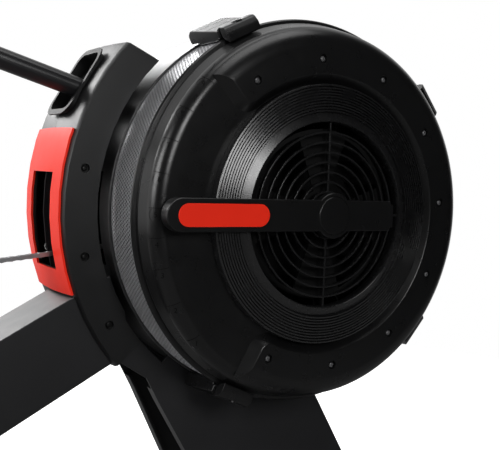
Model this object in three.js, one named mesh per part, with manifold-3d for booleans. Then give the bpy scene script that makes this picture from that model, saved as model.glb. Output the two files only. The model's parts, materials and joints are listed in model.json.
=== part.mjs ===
// Air-resistance rowing machine: a caged fan drum on a sloping frame, a level rail with a rolling
// seat, foot plates, a pull handle on a chain, and a monitor on a tilting arm.
// Millimetres. +X runs from the rower towards the fan, +Y to the rower's left, +Z up.
// Everything is drawn about the drum axis (X = Z = 0); the last lines stand the machine on the floor.
import * as THREE from 'three';
import { mergeVertices } from 'three/addons/utils/BufferGeometryUtils.js';
import Module from 'manifold-3d';

const wasm = await Module();
wasm.setup();

// ---------------------------------------------------------------- driving dimensions
const drumHeight = 640; // floor to drum axis
const seatRailHeight = 400; // floor to the running face of the rail
const fit = 0.3; // gap between pieces that touch

// Drum
const barrelRadius = 266;
const barrelWall = 4;
const barrelNear = -61.2; // side of the barrel that meets the mesh band
const barrelFar = 58;
const beadRise = 3;
const beadWidth = 5;
const meshThickness = 2.4;
const coverRim = -126; // Y of the near cover's open edge
const coverWall = 3;
const recessFace = -169.3; // Y of the cover's recessed face
const bandFace = -182; // Y of the raised band that carries the screws
const shoulderRadius = barrelRadius - 9;
const shoulderRound = 18;
const bandInnerRadius = 190.7;
const bandChamfer = 12.7;
const bandStart = 238.4; // degrees, end of the band below the lever
const bandEnd = 130.5; // degrees, end of the band above the lever
const bandCorner = 14;
const coverBore = 140;
const screwCircle = 210.4;
const screwPitch = 30; // degrees
const firstScrew = 122.6; // degrees
const screwCount = 9;
const screwPocketRadius = 6;
const screwPocketDepth = 3.5;
const farCoverDepth = 24;

// Vent grille in the near cover
const ventFace = -183;
const ventOuterRadius = 177.6;
const ventInnerRadius = 126;
const ventBorder = 11; // smooth band at each edge of the ribbed ring
const grooveCount = 7;
const grooveDepth = 1.6;
const ringPitch = 13.5;
const ringCount = 7;
const ringWidth = 2.6;
const ringDepth = 8;
const spokeWidth = 3;
const ventHubRadius = 26;

// Damper
const leverRest = 177.3; // degrees
const leverReach = shoulderRadius - 6;
const leverTail = 105;
const leverWidth = 42;
const leverFace = -197;
const leverBack = -186.5;
const leverTipBack = -178;
const insertInner = 105;
const insertOuter = leverReach - 15;
const insertWidth = 29;
const insertRise = 2;
const hubCapRadius = 25.5;
const spindleRadius = 9;
const runningGap = 0.5;
const shutterRadius = 118;
const shutterFace = -163;
const shutterThickness = 3;

// Fan and its drive
const fanRadius = barrelRadius - 21;
const fanEyeRadius = 120;
const fanBladeCount = 20;
const fanBladeThickness = 2.4;
const fanBack = -70;
const fanFront = -150;
const fanPlate = 3;
const axleRadius = 12;
const bearingRadius = 26;
const bearingWidth = 14;
const sprocketTeeth = 14;
const chainPitch = 12.7;
const chainHalf = 3.4; // half the height of a chain plate
const sprocketWidth = 5;

// Latches across the mesh band
const latchAngles = [114.5, 36.5, -43.5, -117];
const latchWidth = 52;
const latchNear = -146;
const latchFar = -51;
const latchHeight = 20;
const latchPocket = 7.5;

// Drum housing towards the rower
const housingInner = barrelRadius + 16.5;
const housingRadius = housingInner + 51.5;
const housingShoulder = housingRadius - 7;
const housingNear = -55; // Y of the side towards the cover
const housingSeam = 20; // Y where the two shells meet
const housingFar = 95;
const housingCrownDrop = 1.5;
const housingWall = 4;
const housingTop = 132.3; // degrees, at the housing's inner edge
const housingTopLean = 153.7; // degrees, the way the top end runs outwards
const housingBottom = 218.3; // degrees
const housingScrews = [167.7, 189.6, 208.5]; // degrees
const housingScrewCircle = housingInner + 22.5;
const housingSides = 60;
const panelTop = 118; // Z
const panelBottom = -102; // Z
const panelNear = -48;
const panelFar = 88;
const panelThickness = 3;
const mouthTop = 60; // Z
const mouthBottom = -70; // Z
const mouthNear = -20;
const mouthFar = 60;
const slotAngle = 147.2; // degrees
const slotLength = 96;
const slotWidth = 74;
const slotRound = 16;
const collarBorder = 6;
const collarRise = 1.8;

// Frame
const plateOuter = 50; // half the width over the leg's side plates
const plateThickness = 4;
const cradleRadius = barrelRadius + 2 * fit;
const cradleOuter = housingRadius - 12;
const cradleTop = 141; // degrees
const cradleGap = 14.5; // between the drum and the near side plate
const legLeftX = -204; // a point on the leg's rear edge
const legLeftZ = -245;
const legLeftLean = 0.48; // forward per unit down
const legRightX = 77; // a point on the leg's front edge
const legRightZ = -300.4;
const legRightLean = 0.445;
const legSplay = 0.17; // outward per unit down on each side
const legSplayZ = -264; // where the sides start to splay
const lipWidth = 14;
const beamHalf = 45.7;
const beamTopX = -314.6;
const beamTopZ = -104.5;
const beamSlope = 25.5; // degrees
const beamDepth = 122; // measured upright
const beamLevelDepth = 108;
const beamLevelLength = 167.65;
const tubeWall = 3;
const railHalf = 30;
const railDepth = 96;
const railFlangeHalf = 38;
const railFlange = 9;
const railLength = 1320;
const endCapLength = 16;
const endStopRise = 24;

// Feet
const footHalf = 300;
const frontFootX = 112;
const legTaperZ = -470; // below this the leg narrows to its foot
const legFootHalf = 62;
const footWidth = 90;
const footHeight = 46;
const footFloorGap = 14; // floor to the underside of the foot tube
const footCapLength = 40;
const wheelRadius = 30;
const wheelWidth = 24;
const wheelAxle = 6;

// Seat
const seatRest = -1200; // X of the seat's middle
const seatLength = 250;
const seatWidth = 320;
const seatPadThickness = 46;
const rollerRadius = 17;
const rollerWidth = 14;
const rollerSpread = 120;
const rollerAxle = 5;

// Foot plates
const heelX = -800;
const heelHeight = 325; // above the floor
const footAngle = 40; // degrees
const plateLength = 300;
const plateWidth = 112;
const footPlateThickness = 9;
const footPlateY = 114;
const studSlot = 5; // half the width of the slot that the heel cup slides in
const ribDepth = 26; // below the plate's face
const strapRise = 62;
const strapWidth = 36;
const strapThickness = 2.6;
const footTubeRadius = 13;
const strapMiddle = 190; // along the plate from the heel
const tubeAlong = 164; // along the plate from the heel
const saddleWall = 5;
const saddleHalf = 42;

// Handle
const handleX = -520;
const handleZ = -62;
const handleSpan = 230; // half the length
const handleRadius = 10.5;
const gripRadius = 16;
const handleSweep = 10; // degrees
const handleCentre = 80; // half the straight middle

// Monitor
const armPivotAngle = slotAngle;
const armPivotDepth = 38; // from the housing's rim to the arm's pin
const armPivotRadius = housingRadius - armPivotDepth;
const armRise = 18; // degrees
const armRadius = 14;
const armLength = 500;
const pinRadius = 6;
const monitorWidth = 190;
const monitorHeight = 150;
const monitorDepth = 30;
const monitorTilt = 12; // degrees
const monitorLow = 16; // hinge to the underside of the housing
const hingeReach = 524; // arm pivot to monitor hinge
const screenBorder = 14;
const screenAboveButtons = 18;
const buttonCount = 4;
const buttonPitch = 40;
const buttonHalf = 11;
const buttonRise = 2.5;
const buttonTravel = 1.5;
const buttonWell = 6;

// ---------------------------------------------------------------- finishes
const finish = (color, roughness, metalness = 0) =>
  new THREE.MeshStandardMaterial({ color, roughness, metalness });
const glossBlack = () => finish(0x0c0c0d, 0.32);
const matteBlack = () => finish(0x1b1b1d, 0.55);
const charcoal = () => finish(0x2b2b2d, 0.5);
const frameSteel = () => finish(0x2a2b2e, 0.45, 0.3);
const red = () => finish(0xd8221a, 0.38);
const steel = () => finish(0xb4b6b8, 0.35, 0.9);
const rubber = () => finish(0x161616, 0.85);

// ---------------------------------------------------------------- shape helpers
const rad = THREE.MathUtils.degToRad;
const floorZ = -drumHeight;
const polar = (radius, degrees) => [radius * Math.cos(rad(degrees)), radius * Math.sin(rad(degrees))];

function arc(radius, from, to, steps, centre = [0, 0]) {
  return Array.from({ length: steps + 1 }, (_, i) => {
    const [u, v] = polar(radius, from + ((to - from) * i) / steps);
    return [u + centre[0], v + centre[1]];
  });
}

const circle = (radius, centre = [0, 0], sides = 24) =>
  arc(radius, 0, 360 - 360 / sides, sides - 1, centre);

const rectangle = (u0, u1, v0, v1) => [[u0, v0], [u1, v0], [u1, v1], [u0, v1]];

function roundedRectangle(u0, u1, v0, v1, radius, steps = 2) {
  return [
    ...arc(radius, 180, 270, steps, [u0 + radius, v0 + radius]),
    ...arc(radius, 270, 360, steps, [u1 - radius, v0 + radius]),
    ...arc(radius, 0, 90, steps, [u1 - radius, v1 - radius]),
    ...arc(radius, 90, 180, steps, [u0 + radius, v1 - radius]),
  ];
}

const axes = {
  x: [new THREE.Vector3(0, 1, 0), new THREE.Vector3(0, 0, 1), new THREE.Vector3(1, 0, 0)],
  y: [new THREE.Vector3(1, 0, 0), new THREE.Vector3(0, 0, 1), new THREE.Vector3(0, -1, 0)],
  z: [new THREE.Vector3(1, 0, 0), new THREE.Vector3(0, 1, 0), new THREE.Vector3(0, 0, 1)],
};

const toShape = (outline) => new THREE.Shape(outline.map(([u, v]) => new THREE.Vector2(u, v)));

// An outline drawn square to one axis and drawn out along it between two places on that axis.
function prism(outline, low, high, axis, bevel = 0) {
  const geometry = new THREE.ExtrudeGeometry(toShape(outline), {
    depth: high - low - 2 * bevel,
    bevelEnabled: bevel > 0,
    bevelThickness: bevel,
    bevelSize: bevel,
    bevelOffset: -bevel,
    bevelSegments: 1,
  });
  geometry.translate(0, 0, (axis === 'y' ? -high : low) + bevel);
  return geometry.applyMatrix4(new THREE.Matrix4().makeBasis(...axes[axis]));
}

const rod = (radius, low, high, axis, centre = [0, 0], sides = 20) =>
  prism(circle(radius, centre, sides), low, high, axis);

// A closed profile of [radius, Y] points spun about the drum axis.
function spun(profile, sides = 56) {
  const points = [...profile, profile[0]].map(([r, y]) => new THREE.Vector2(r, y));
  if (THREE.ShapeUtils.area(points) < 0) points.reverse();
  return new THREE.LatheGeometry(points, sides);
}

function toSolid(geometry) {
  const bare = geometry.clone();
  bare.deleteAttribute('normal');
  bare.deleteAttribute('uv');
  const merged = mergeVertices(bare, 1e-4);
  const corners = merged.index.array;
  const kept = [];
  for (let i = 0; i < corners.length; i += 3) {
    const [a, b, c] = corners.slice(i, i + 3);
    if (a !== b && b !== c && c !== a) kept.push(a, b, c);
  }
  const vertProperties = new Float32Array(merged.attributes.position.array);
  const make = (triVerts) =>
    new wasm.Manifold(new wasm.Mesh({ numProp: 3, vertProperties, triVerts: new Uint32Array(triVerts) }));
  const body = make(kept);
  return body.volume() > 0 ? body : make(kept.reverse());
}

function toGeometry(body) {
  const mesh = body.getMesh();
  const geometry = new THREE.BufferGeometry();
  geometry.setAttribute('position', new THREE.BufferAttribute(mesh.vertProperties, 3));
  geometry.setIndex(new THREE.BufferAttribute(mesh.triVerts, 1));
  return geometry;
}

const join = (...pieces) => toGeometry(pieces.map(toSolid).reduce((a, b) => a.add(b)));
const cut = (piece, ...tools) =>
  toGeometry(tools.map(toSolid).reduce((body, tool) => body.subtract(tool), toSolid(piece)));
const common = (...pieces) => toGeometry(pieces.map(toSolid).reduce((a, b) => a.intersect(b)));

// Turns a geometry about a line parallel to Y through [x, z]; positive lifts the rower's side.
function turned(geometry, degrees, [x, z] = [0, 0]) {
  geometry.translate(-x, 0, -z);
  geometry.rotateY(rad(degrees));
  return geometry.translate(x, 0, z);
}

const machine = new THREE.Group();

function add(name, geometry, material) {
  const flat = geometry.index ? geometry.toNonIndexed() : geometry;
  flat.computeVertexNormals();
  const mesh = new THREE.Mesh(flat, material);
  mesh.name = name;
  machine.add(mesh);
  return mesh;
}

// ---------------------------------------------------------------- drum
const quarter = (rOut, yOut, round, steps = 4) =>
  arc(round, 0, -90, steps, [rOut - round, yOut + round]).map(([r, y]) => [r, y]);

function nearCoverShell() {
  const rim = coverRim - fit;
  const edge = barrelRadius;
  const outer = [
    [edge, rim],
    [edge + beadRise, rim - 1],
    [edge + beadRise, rim - beadWidth],
    [edge, rim - beadWidth - 1],
    ...quarter(shoulderRadius, recessFace, shoulderRound),
  ];
  const inner = [
    ...quarter(shoulderRadius - coverWall, recessFace + coverWall, shoulderRound - coverWall, 1).reverse(),
    [edge - coverWall, rim],
  ];
  return spun([...outer, [coverBore, recessFace], [coverBore, recessFace + coverWall], ...inner], 40);
}

function raisedBand() {
  const outerArc = 285;
  const span = [bandStart - 360, bandEnd];
  const cornerAngle = THREE.MathUtils.radToDeg(bandCorner / bandInnerRadius);
  const innerEnd = (angle, side) => {
    const centre = polar(bandInnerRadius + bandCorner, angle - side * cornerAngle);
    return [angle, centre];
  };
  const [a1, c1] = innerEnd(span[1], 1);
  const [a0, c0] = innerEnd(span[0], -1);
  const outline = [
    ...arc(outerArc, span[0], span[1], 20),
    ...arc(bandCorner, a1 + 90, a1 + 180, 3, c1),
    ...arc(bandInnerRadius, span[1] - cornerAngle, span[0] + cornerAngle, 34).slice(1, -1),
    ...arc(bandCorner, a0 + 180, a0 + 270, 3, c0),
  ];
  const slab = new THREE.ExtrudeGeometry(toShape(outline), {
    depth: 20,
    bevelThickness: bandChamfer,
    bevelSize: bandChamfer,
    bevelSegments: 1,
  });
  slab.translate(0, 0, -bandFace - 20 - bandChamfer);
  slab.applyMatrix4(new THREE.Matrix4().makeBasis(...axes.y));
  const inside = recessFace + coverWall;
  const bandRound = recessFace + shoulderRound - bandFace;
  const envelope = spun([
    [150, bandFace],
    ...quarter(shoulderRadius, bandFace, bandRound).reverse(),
    [shoulderRadius + 1.5, recessFace + shoulderRound],
    [shoulderRadius - 1, recessFace + shoulderRound],
    [shoulderRadius - shoulderRound, inside],
    [150, inside],
  ], 40);
  return common(slab, envelope);
}

function nearCover() {
  const pockets = Array.from({ length: screwCount }, (_, i) =>
    rod(screwPocketRadius, bandFace - 1, bandFace + screwPocketDepth, 'y',
      polar(screwCircle, firstScrew - screwPitch * i), 8));
  return cut(join(nearCoverShell(), raisedBand()), ...pockets);
}

// The ribbed ring with its fine concentric grooves, the open rings inside it, four spokes and a hub.
function ventGrille() {
  const back = recessFace - fit;
  const ribbed = ventOuterRadius - ventInnerRadius - 2 * ventBorder;
  const pitch = ribbed / grooveCount;
  const grooves = Array.from({ length: grooveCount }, (_, i) => {
    const r = ventInnerRadius + ventBorder + pitch * i;
    return [[r, ventFace], [r + pitch * 0.4, ventFace + grooveDepth]];
  }).flat();
  const ring = spun([
    [ventInnerRadius, ventFace],
    ...grooves,
    [ventOuterRadius - ventBorder, ventFace],
    [ventOuterRadius - 1.5, ventFace],
    [ventOuterRadius, ventFace + 1.5],
    [ventOuterRadius, back],
    [ventInnerRadius, back],
  ], 36);
  const front = ventFace + 2;
  // Each open ring has a drafted section, widest at the front face.
  const rings = Array.from({ length: ringCount }, (_, i) => {
    const r = ventInnerRadius - ringPitch * (i + 1);
    const half = ringWidth / 2;
    return spun([[r - half, front], [r + half, front], [r, front + ringDepth]], 26 - 2 * i);
  });
  const spoke = (degrees) => {
    const bar = prism(rectangle(ventHubRadius - 2, ventInnerRadius + 2, -spokeWidth / 2, spokeWidth / 2),
      front + 0.7, front + ringDepth - 0.7, 'y');
    return bar.rotateY(rad(-degrees));
  };
  const bore = spindleRadius + runningGap;
  const [hubFace, hubBack] = [ventFace - 1, shutterFace - 2];
  const hub = spun([
    [bore, hubFace], [ventHubRadius, hubFace], [ventHubRadius, hubBack], [bore, hubBack],
  ], 16);
  return join(ring, ...rings, ...[0, 90, 180, 270].map((a) => spoke(a + leverRest - 180)), hub);
}

function meshBand() {
  const outer = barrelRadius - 0.2;
  return spun([
    [outer - meshThickness, coverRim],
    [outer, coverRim],
    [outer, barrelNear - fit],
    [outer - meshThickness, barrelNear - fit],
  ], 48);
}

const chainSlot = (near, far) =>
  prism(rectangle(-housingRadius - 20, -200, mouthBottom, mouthTop), near, far, 'y');

function fanCase() {
  const inner = barrelRadius - barrelWall;
  const boss = bearingRadius + 8;
  const near = barrelNear;
  const shell = spun([
    [bearingRadius + fit, near],
    [barrelRadius + beadRise, near],
    [barrelRadius + beadRise, near + beadWidth],
    [barrelRadius, near + beadWidth + 1],
    [barrelRadius, barrelFar],
    [inner, barrelFar],
    [inner, near + barrelWall],
    [boss, near + barrelWall],
    [boss, near + bearingWidth + barrelWall],
    [axleRadius + 3, near + bearingWidth + barrelWall],
    [axleRadius + 3, near + bearingWidth],
    [bearingRadius + fit, near + bearingWidth],
  ], 36);
  return cut(shell, chainSlot(mouthNear, -mouthNear));
}

function farCover() {
  const near = barrelFar + fit;
  const face = near + farCoverDepth;
  const boss = bearingRadius + 8;
  return spun([
    [0, face + 4],
    [boss, face + 4],
    [boss + 6, face],
    [150, face],
    [158, face - 4],
    [205, face - 4],
    [213, face],
    [barrelRadius - 22, face - 1],
    [barrelRadius - 7, face - 9],
    [barrelRadius, near],
    [barrelRadius - coverWall, near],
    [barrelRadius - 22, face - coverWall - 5],
    [boss, face - coverWall - 5],
    [boss, near - bearingWidth],
    [bearingRadius + fit, near - bearingWidth],
    [bearingRadius + fit, near],
    [0, near],
  ], 32);
}

// A latch is drawn at the top of the drum, along Y, then swung to its place.
function latch(angle) {
  const half = latchWidth / 2;
  const foot = barrelRadius + beadRise + fit;
  const top = foot + latchHeight;
  const strap = prism([
    [latchNear + 22, foot + 5],
    [latchFar - 12, foot + 5],
    [latchFar - 12, foot],
    [latchFar, foot],
    [latchFar, top - 8],
    [latchFar - 8, top - 2],
    [latchNear + 22, top - 5],
  ], -half, half, 'x');
  // The knuckle steps over the cover's bead and comes down on its cone.
  const bead = coverRim - 2 * fit - beadWidth - 1;
  const cone = recessFace + shoulderRound;
  const seat = (y) => shoulderRadius + fit + ((barrelRadius - shoulderRadius) * (y - cone)) / (bead - cone);
  const knuckle = prism([
    [latchNear, seat(latchNear)],
    [bead, seat(bead)],
    [bead, foot],
    [latchNear + 24, foot],
    [latchNear + 24, top - 3],
    [latchNear + 14, top - 3],
    [latchNear + 6, top - 6],
    [latchNear + 1.5, top - 12],
    [latchNear, top - 18],
  ], -half + 2, half - 2, 'x');
  // The prism's outline is [Y, Z] and it runs along X, so this is a radial pocket at its middle.
  const pocket = rod(latchPocket, foot + latchHeight / 2, top + 5, 'z', [0, latchNear + 8], 12);
  return cut(join(strap, knuckle), pocket).rotateY(rad(90 - angle));
}

// ---------------------------------------------------------------- damper
function damperLever() {
  const half = leverWidth / 2;
  const notch = 5;
  const centre = -(leverReach - half);
  const bar = prism([
    ...arc(half, 90, 270, 10, [centre, 0]),
    [leverTail - notch, -half],
    [leverTail - notch, -half + notch],
    [leverTail, -half + notch],
    [leverTail, half - notch],
    [leverTail - notch, half - notch],
    [leverTail - notch, half],
  ], leverFace, leverBack, 'y');
  const tip = rod(half, leverBack - 1, leverTipBack, 'y', [centre, 0], 20);
  const hub = rod(leverWidth / 2 + 10, leverFace, leverBack, 'y', [0, 0], 24);
  const insertSeat = insertOutline(fit);
  return turned(cut(join(bar, tip, hub), prism(insertSeat, leverFace - 1, leverFace + insertRise, 'y'),
    rod(hubCapRadius + fit, leverFace - 1, leverFace + 3, 'y', [0, 0], 24)), 180 - leverRest);
}

function insertOutline(clearance = 0) {
  const half = insertWidth / 2;
  const left = -insertOuter + half;
  const right = -insertInner - half;
  return [
    ...arc(half + clearance, 90, 270, 8, [left, 0]),
    ...arc(half + clearance, -90, 90, 8, [right, 0]),
  ];
}

const leverInsert = () => turned(prism(insertOutline(), leverFace - 1.2, leverFace + insertRise - fit, 'y'),
  180 - leverRest);

const hubCap = () => spun([
  [0, leverFace - 1],
  [hubCapRadius - 1.5, leverFace - 1],
  [hubCapRadius, leverFace + 0.5],
  [hubCapRadius, leverFace + 3 - fit],
  [0, leverFace + 3 - fit],
], 20);

function damperShutter() {
  const ports = [45, 135, 225, 315].map((middle) => prism([
    ...arc(shutterRadius - 6, middle - 24, middle + 24, 4),
    ...arc(34, middle + 24, middle - 24, 3),
  ], shutterFace - 1, shutterFace + shutterThickness + 1, 'y'));
  const back = shutterFace + shutterThickness;
  const disc = rod(shutterRadius, shutterFace + fit, back, 'y', [0, 0], 32);
  const spindle = rod(spindleRadius, leverBack + fit, back, 'y', [0, 0], 20);
  return turned(join(cut(disc, ...ports), spindle), 180 - leverRest);
}

// ---------------------------------------------------------------- fan
function fanWheel() {
  const bore = axleRadius + fit;
  const hub = spun([
    [bore, fanBack + 6], [bore, fanFront + 30], [30, fanFront + 30], [38, fanBack - 20], [38, fanBack + 6],
  ], 16);
  const plate = spun([
    [34, fanBack], [34, fanBack - fanPlate], [fanRadius - 4, fanBack - fanPlate], [fanRadius - 4, fanBack],
  ], 28);
  const rim = spun([
    [fanRadius - 24, fanFront], [fanRadius, fanFront], [fanRadius, fanFront + fanPlate],
    [fanRadius - 24, fanFront + fanPlate],
  ], 28);
  const sweep = 16; // degrees a blade leans back over its length
  const blade = (start) => {
    const line = (offset) => [0, 0.5, 1].map((t) => {
      const r = fanEyeRadius + (fanRadius - 8 - fanEyeRadius) * t;
      const angle = start + sweep * t * t;
      const [x, z] = polar(r, angle);
      const [nx, nz] = polar(offset, angle + 90);
      return [x + nx, z + nz];
    });
    const half = fanBladeThickness / 2;
    return prism([...line(-half), ...line(half).reverse()], fanFront + 1, fanBack - 1, 'y');
  };
  const blades = Array.from({ length: fanBladeCount }, (_, i) => blade((360 / fanBladeCount) * i));
  return join(hub, plate, rim, ...blades);
}

const fanAxle = () => rod(axleRadius, fanFront + 26, barrelFar + fit - 1, 'y', [0, 0], 20);

function bearing(low) {
  return spun([
    [axleRadius + fit, low + 1], [bearingRadius, low + 1], [bearingRadius, low + bearingWidth - 1],
    [axleRadius + fit, low + bearingWidth - 1],
  ], 16);
}

const sprocketRadius = chainPitch / (2 * Math.sin(Math.PI / sprocketTeeth));

function sprocket() {
  const teeth = Array.from({ length: sprocketTeeth }, (_, i) => {
    const middle = (360 / sprocketTeeth) * i;
    return [
      polar(sprocketRadius - 4, middle - 9), polar(sprocketRadius + 4, middle - 3),
      polar(sprocketRadius + 4, middle + 3), polar(sprocketRadius - 4, middle + 9),
    ];
  }).flat();
  const wheel = prism(teeth, -sprocketWidth / 2, sprocketWidth / 2, 'y');
  const hub = rod(20, -14, 14, 'y', [0, 0], 12);
  return cut(join(wheel, hub), rod(axleRadius + fit, -20, 20, 'y', [0, 0], 20));
}

// ---------------------------------------------------------------- frame
const legLeft = (z) => legLeftX + legLeftLean * (legLeftZ - z);
const legRight = (z) => legRightX + legRightLean * (legRightZ - z);
const footTopZ = floorZ + footFloorGap + footHeight;
const slopeRise = Math.tan(rad(beamSlope));
const beamTop = (x) => beamTopZ + (x - beamTopX) * slopeRise;
const beamBottom = (x) => beamTop(x) - beamDepth;
const railTopZ = floorZ + seatRailHeight;
const beamKnee = beamTopX + (railTopZ - beamTopZ) / slopeRise;
const beamEnd = beamKnee - beamLevelLength;
const beamUnderKnee = beamKnee + (beamDepth - beamLevelDepth) / slopeRise;

// The housing's crowned rim from one shoulder to the other, larger by grow.
const housingCrown = (grow = 0) => [
  [housingShoulder + 3 + grow, housingNear + 5],
  [housingRadius - housingCrownDrop + grow, (housingNear + housingSeam) / 2],
  [housingRadius + grow, housingSeam],
  [housingRadius - housingCrownDrop + grow, (housingSeam + housingFar) / 2],
  [housingShoulder + 3 + grow, housingFar - 5],
];

const wedge = (from, to, low, high, reach = 500) =>
  prism([[0, 0], ...arc(reach, from, to, 8)], low, high, 'y');

// What lies between the housing's two ends; its top end is set in by some degrees.
function housingSector(low, high, inset = 0, past = 0) {
  const [x, z] = polar(housingInner, housingTop + inset);
  const [dx, dz] = polar(1, housingTopLean);
  return prism([
    [0, 0], [x - 20 * dx, z - 20 * dz], [x + 160 * dx, z + 160 * dz],
    ...arc(500, 150, housingBottom + past, 8),
  ], low, high, 'y');
}

// The beam's box section, larger by grow on every side; a negative grow gives its bore.
const beamSection = (grow = 0) => prism([
  [-240, beamTop(-240) + grow],
  [beamKnee, railTopZ + grow],
  [beamEnd - Math.abs(grow), railTopZ + grow],
  [beamEnd - Math.abs(grow), railTopZ - beamLevelDepth - grow],
  [beamUnderKnee, railTopZ - beamLevelDepth - grow],
  [-240, beamBottom(-240) - grow],
], -beamHalf - grow, beamHalf + grow, 'y');

function slotPrism(length, width, low, high) {
  const round = slotRound + (width - slotWidth) / 2;
  const outline = roundedRectangle(-width / 2, width / 2, -length / 2, length / 2, round, 5);
  // Drawn in the Y-Z plane and drawn out along -X, then swung up to the slot's angle.
  return prism(outline, -high, -low, 'x').rotateY(rad(180 - slotAngle)).translate(0, housingSeam, 0);
}

const slotReach = [housingInner - 30, housingRadius + 60];
const collarSeat = housingRadius - (slotLength / 2) ** 2 / (2 * housingRadius) - 4;

function housingShell(side) {
  const [low, high] = side < 0
    ? [housingNear - 1, housingSeam - fit / 2]
    : [housingSeam + fit / 2, housingFar + 1];
  const outer = spun([
    [housingInner - 12, housingNear],
    [housingShoulder, housingNear],
    ...housingCrown(),
    [housingShoulder, housingFar],
    [housingInner - 12, housingFar],
  ], housingSides);
  const inner = spun([
    [housingInner - 20, housingNear + housingWall],
    [housingShoulder - 1, housingNear + housingWall],
    ...housingCrown(-housingWall).slice(1, -1),
    [housingShoulder - 1, housingFar - housingWall],
    [housingInner - 20, housingFar - housingWall],
  ], housingSides);
  const bore = spun([[0, -120], [housingInner, -120], [housingInner, 120], [0, 120]], housingSides);
  const endWall = 0.8; // degrees
  const hollow = common(inner, housingSector(-120, 120, endWall, 2));
  const nearPockets = housingScrews.map((angle) =>
    rod(6, housingNear - 1, housingNear + 3, 'y', polar(housingScrewCircle, angle), 12));
  const farPockets = housingScrews.map((angle) =>
    rod(6, housingFar - 3, housingFar + 1, 'y', polar(housingScrewCircle, angle), 12));
  return cut(common(outer, housingSector(low, high)), hollow, bore, beamSection(fit),
    chainSlot(mouthNear, mouthFar), slotPrism(slotLength + 2 * fit, slotWidth + 2 * fit, ...slotReach),
    ...nearPockets, ...farPockets);
}

const panelAngle = (z) => 180 - THREE.MathUtils.radToDeg(Math.asin(z / housingRadius));

function housingPanel() {
  const skin = spun([...housingCrown(fit), ...housingCrown(fit + panelThickness).reverse()], housingSides);
  const sector = common(skin, wedge(panelAngle(panelTop), panelAngle(panelBottom), panelNear, panelFar));
  return cut(sector, chainSlot(mouthNear, mouthFar));
}

function armCollar() {
  const outer = slotPrism(slotLength + 2 * collarBorder, slotWidth + 2 * collarBorder,
    housingRadius + fit + 1, housingRadius + fit + 1 + collarRise);
  const sleeve = slotPrism(slotLength, slotWidth, collarSeat - 6, housingRadius + 2);
  return cut(join(outer, sleeve), slotPrism(slotLength - 5, slotWidth - 2, ...slotReach));
}

// The space between two upright sides that splay below the beam.
function splayed(half) {
  const top = housingRadius + 60;
  const foot = half + legSplay * (legSplayZ - floorZ);
  return prism([
    [-half, top], [-half, legSplayZ], [-foot, floorZ], [foot, floorZ], [half, legSplayZ], [half, top],
  ], -500, 500, 'x');
}

function frontLeg() {
  const bottom = footTopZ + fit;
  const outline = [
    [frontFootX + legFootHalf, bottom],
    [legRight(legTaperZ), legTaperZ],
    [legRight(-cradleRadius), -cradleRadius],
    ...arc(cradleRadius, 284, cradleTop, 22),
    ...arc(cradleOuter, cradleTop, 218, 10),
    [legLeft(-228), -228],
    [legLeft(legTaperZ), legTaperZ],
    [frontFootX - legFootHalf, bottom],
  ];
  const body = common(prism(outline, -200, 200, 'y'), splayed(plateOuter));
  const inner = plateOuter - plateThickness;
  const t = plateThickness;
  const reach = housingRadius + 60;
  const upper = prism(rectangle(-reach, reach, legLeftZ, reach), -inner, inner, 'y');
  const lower = prism([
    [legLeft(legLeftZ) + t, legLeftZ + 1], [legRight(legLeftZ) - t, legLeftZ + 1],
    [legRight(legTaperZ) - t, legTaperZ], [frontFootX + legFootHalf - t, bottom + t],
    [frontFootX - legFootHalf + t, bottom + t], [legLeft(legTaperZ) + t, legTaperZ],
  ], -200, 200, 'y');
  const mouth = prism([
    [-400, legLeftZ + 1],
    [legLeft(legLeftZ) + 2 * t, legLeftZ + 1],
    [legLeft(legTaperZ) + 2 * t, legTaperZ],
    [frontFootX - legFootHalf + 2 * t, bottom + t],
    [-400, bottom + t],
  ], -200, 200, 'y');
  const gapRadius = cradleRadius + cradleGap;
  const gap = spun([[0, -80], [gapRadius, -80], [gapRadius, -40], [0, -40]], 60);
  const pivot = rod(pinRadius + fit, -80, 80, 'y', armPivot, 16);
  return cut(body, upper, common(lower, splayed(inner)), common(mouth, splayed(inner - lipWidth)),
    common(gap, wedge(128, 228, -90, 0)), pivot);
}

function mainBeam() {
  const clear = spun([[0, -80], [cradleRadius + 8, -80], [cradleRadius + 8, 80], [0, 80]], 48);
  const armRoom = wedge(120, 158, -60, 60);
  return cut(beamSection(), beamSection(-tubeWall), clear, armRoom);
}

function seatRail() {
  const h = railDepth;
  const outline = [
    [-railFlangeHalf, 0], [-railFlangeHalf, -railFlange], [-railHalf, -railFlange - 4],
    [-railHalf, -h + 6], [-railHalf + 6, -h], [railHalf - 6, -h], [railHalf, -h + 6],
    [railHalf, -railFlange - 4], [railFlangeHalf, -railFlange], [railFlangeHalf, 0],
    [14, 0], [12, -3], [-12, -3], [-14, 0],
  ].map(([y, z]) => [y, z + railTopZ]);
  const inner = railHalf - tubeWall;
  const bore = [
    [-inner, -railFlange], [-inner, -h + tubeWall + 5], [-inner + 5, -h + tubeWall],
    [inner - 5, -h + tubeWall], [inner, -h + tubeWall + 5], [inner, -railFlange],
  ].map(([y, z]) => [y, z + railTopZ]);
  const [rear, front] = [railRear, beamEnd - fit];
  return cut(prism(outline, rear, front, 'x'), prism(bore, rear - 1, front + 1, 'x'));
}

const railRear = beamEnd - fit - railLength;

// Closes the rail and stands up over it as the seat's rear stop.
function railEndCap() {
  const half = railFlangeHalf + 3;
  const outline = roundedRectangle(-half, half, railTopZ - railDepth - 3, railTopZ + endStopRise, 10);
  return prism(outline, railRear - endCapLength, railRear - fit, 'x');
}

// ---------------------------------------------------------------- feet
const footZ = [floorZ + footFloorGap, floorZ + footFloorGap + footHeight];

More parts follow.
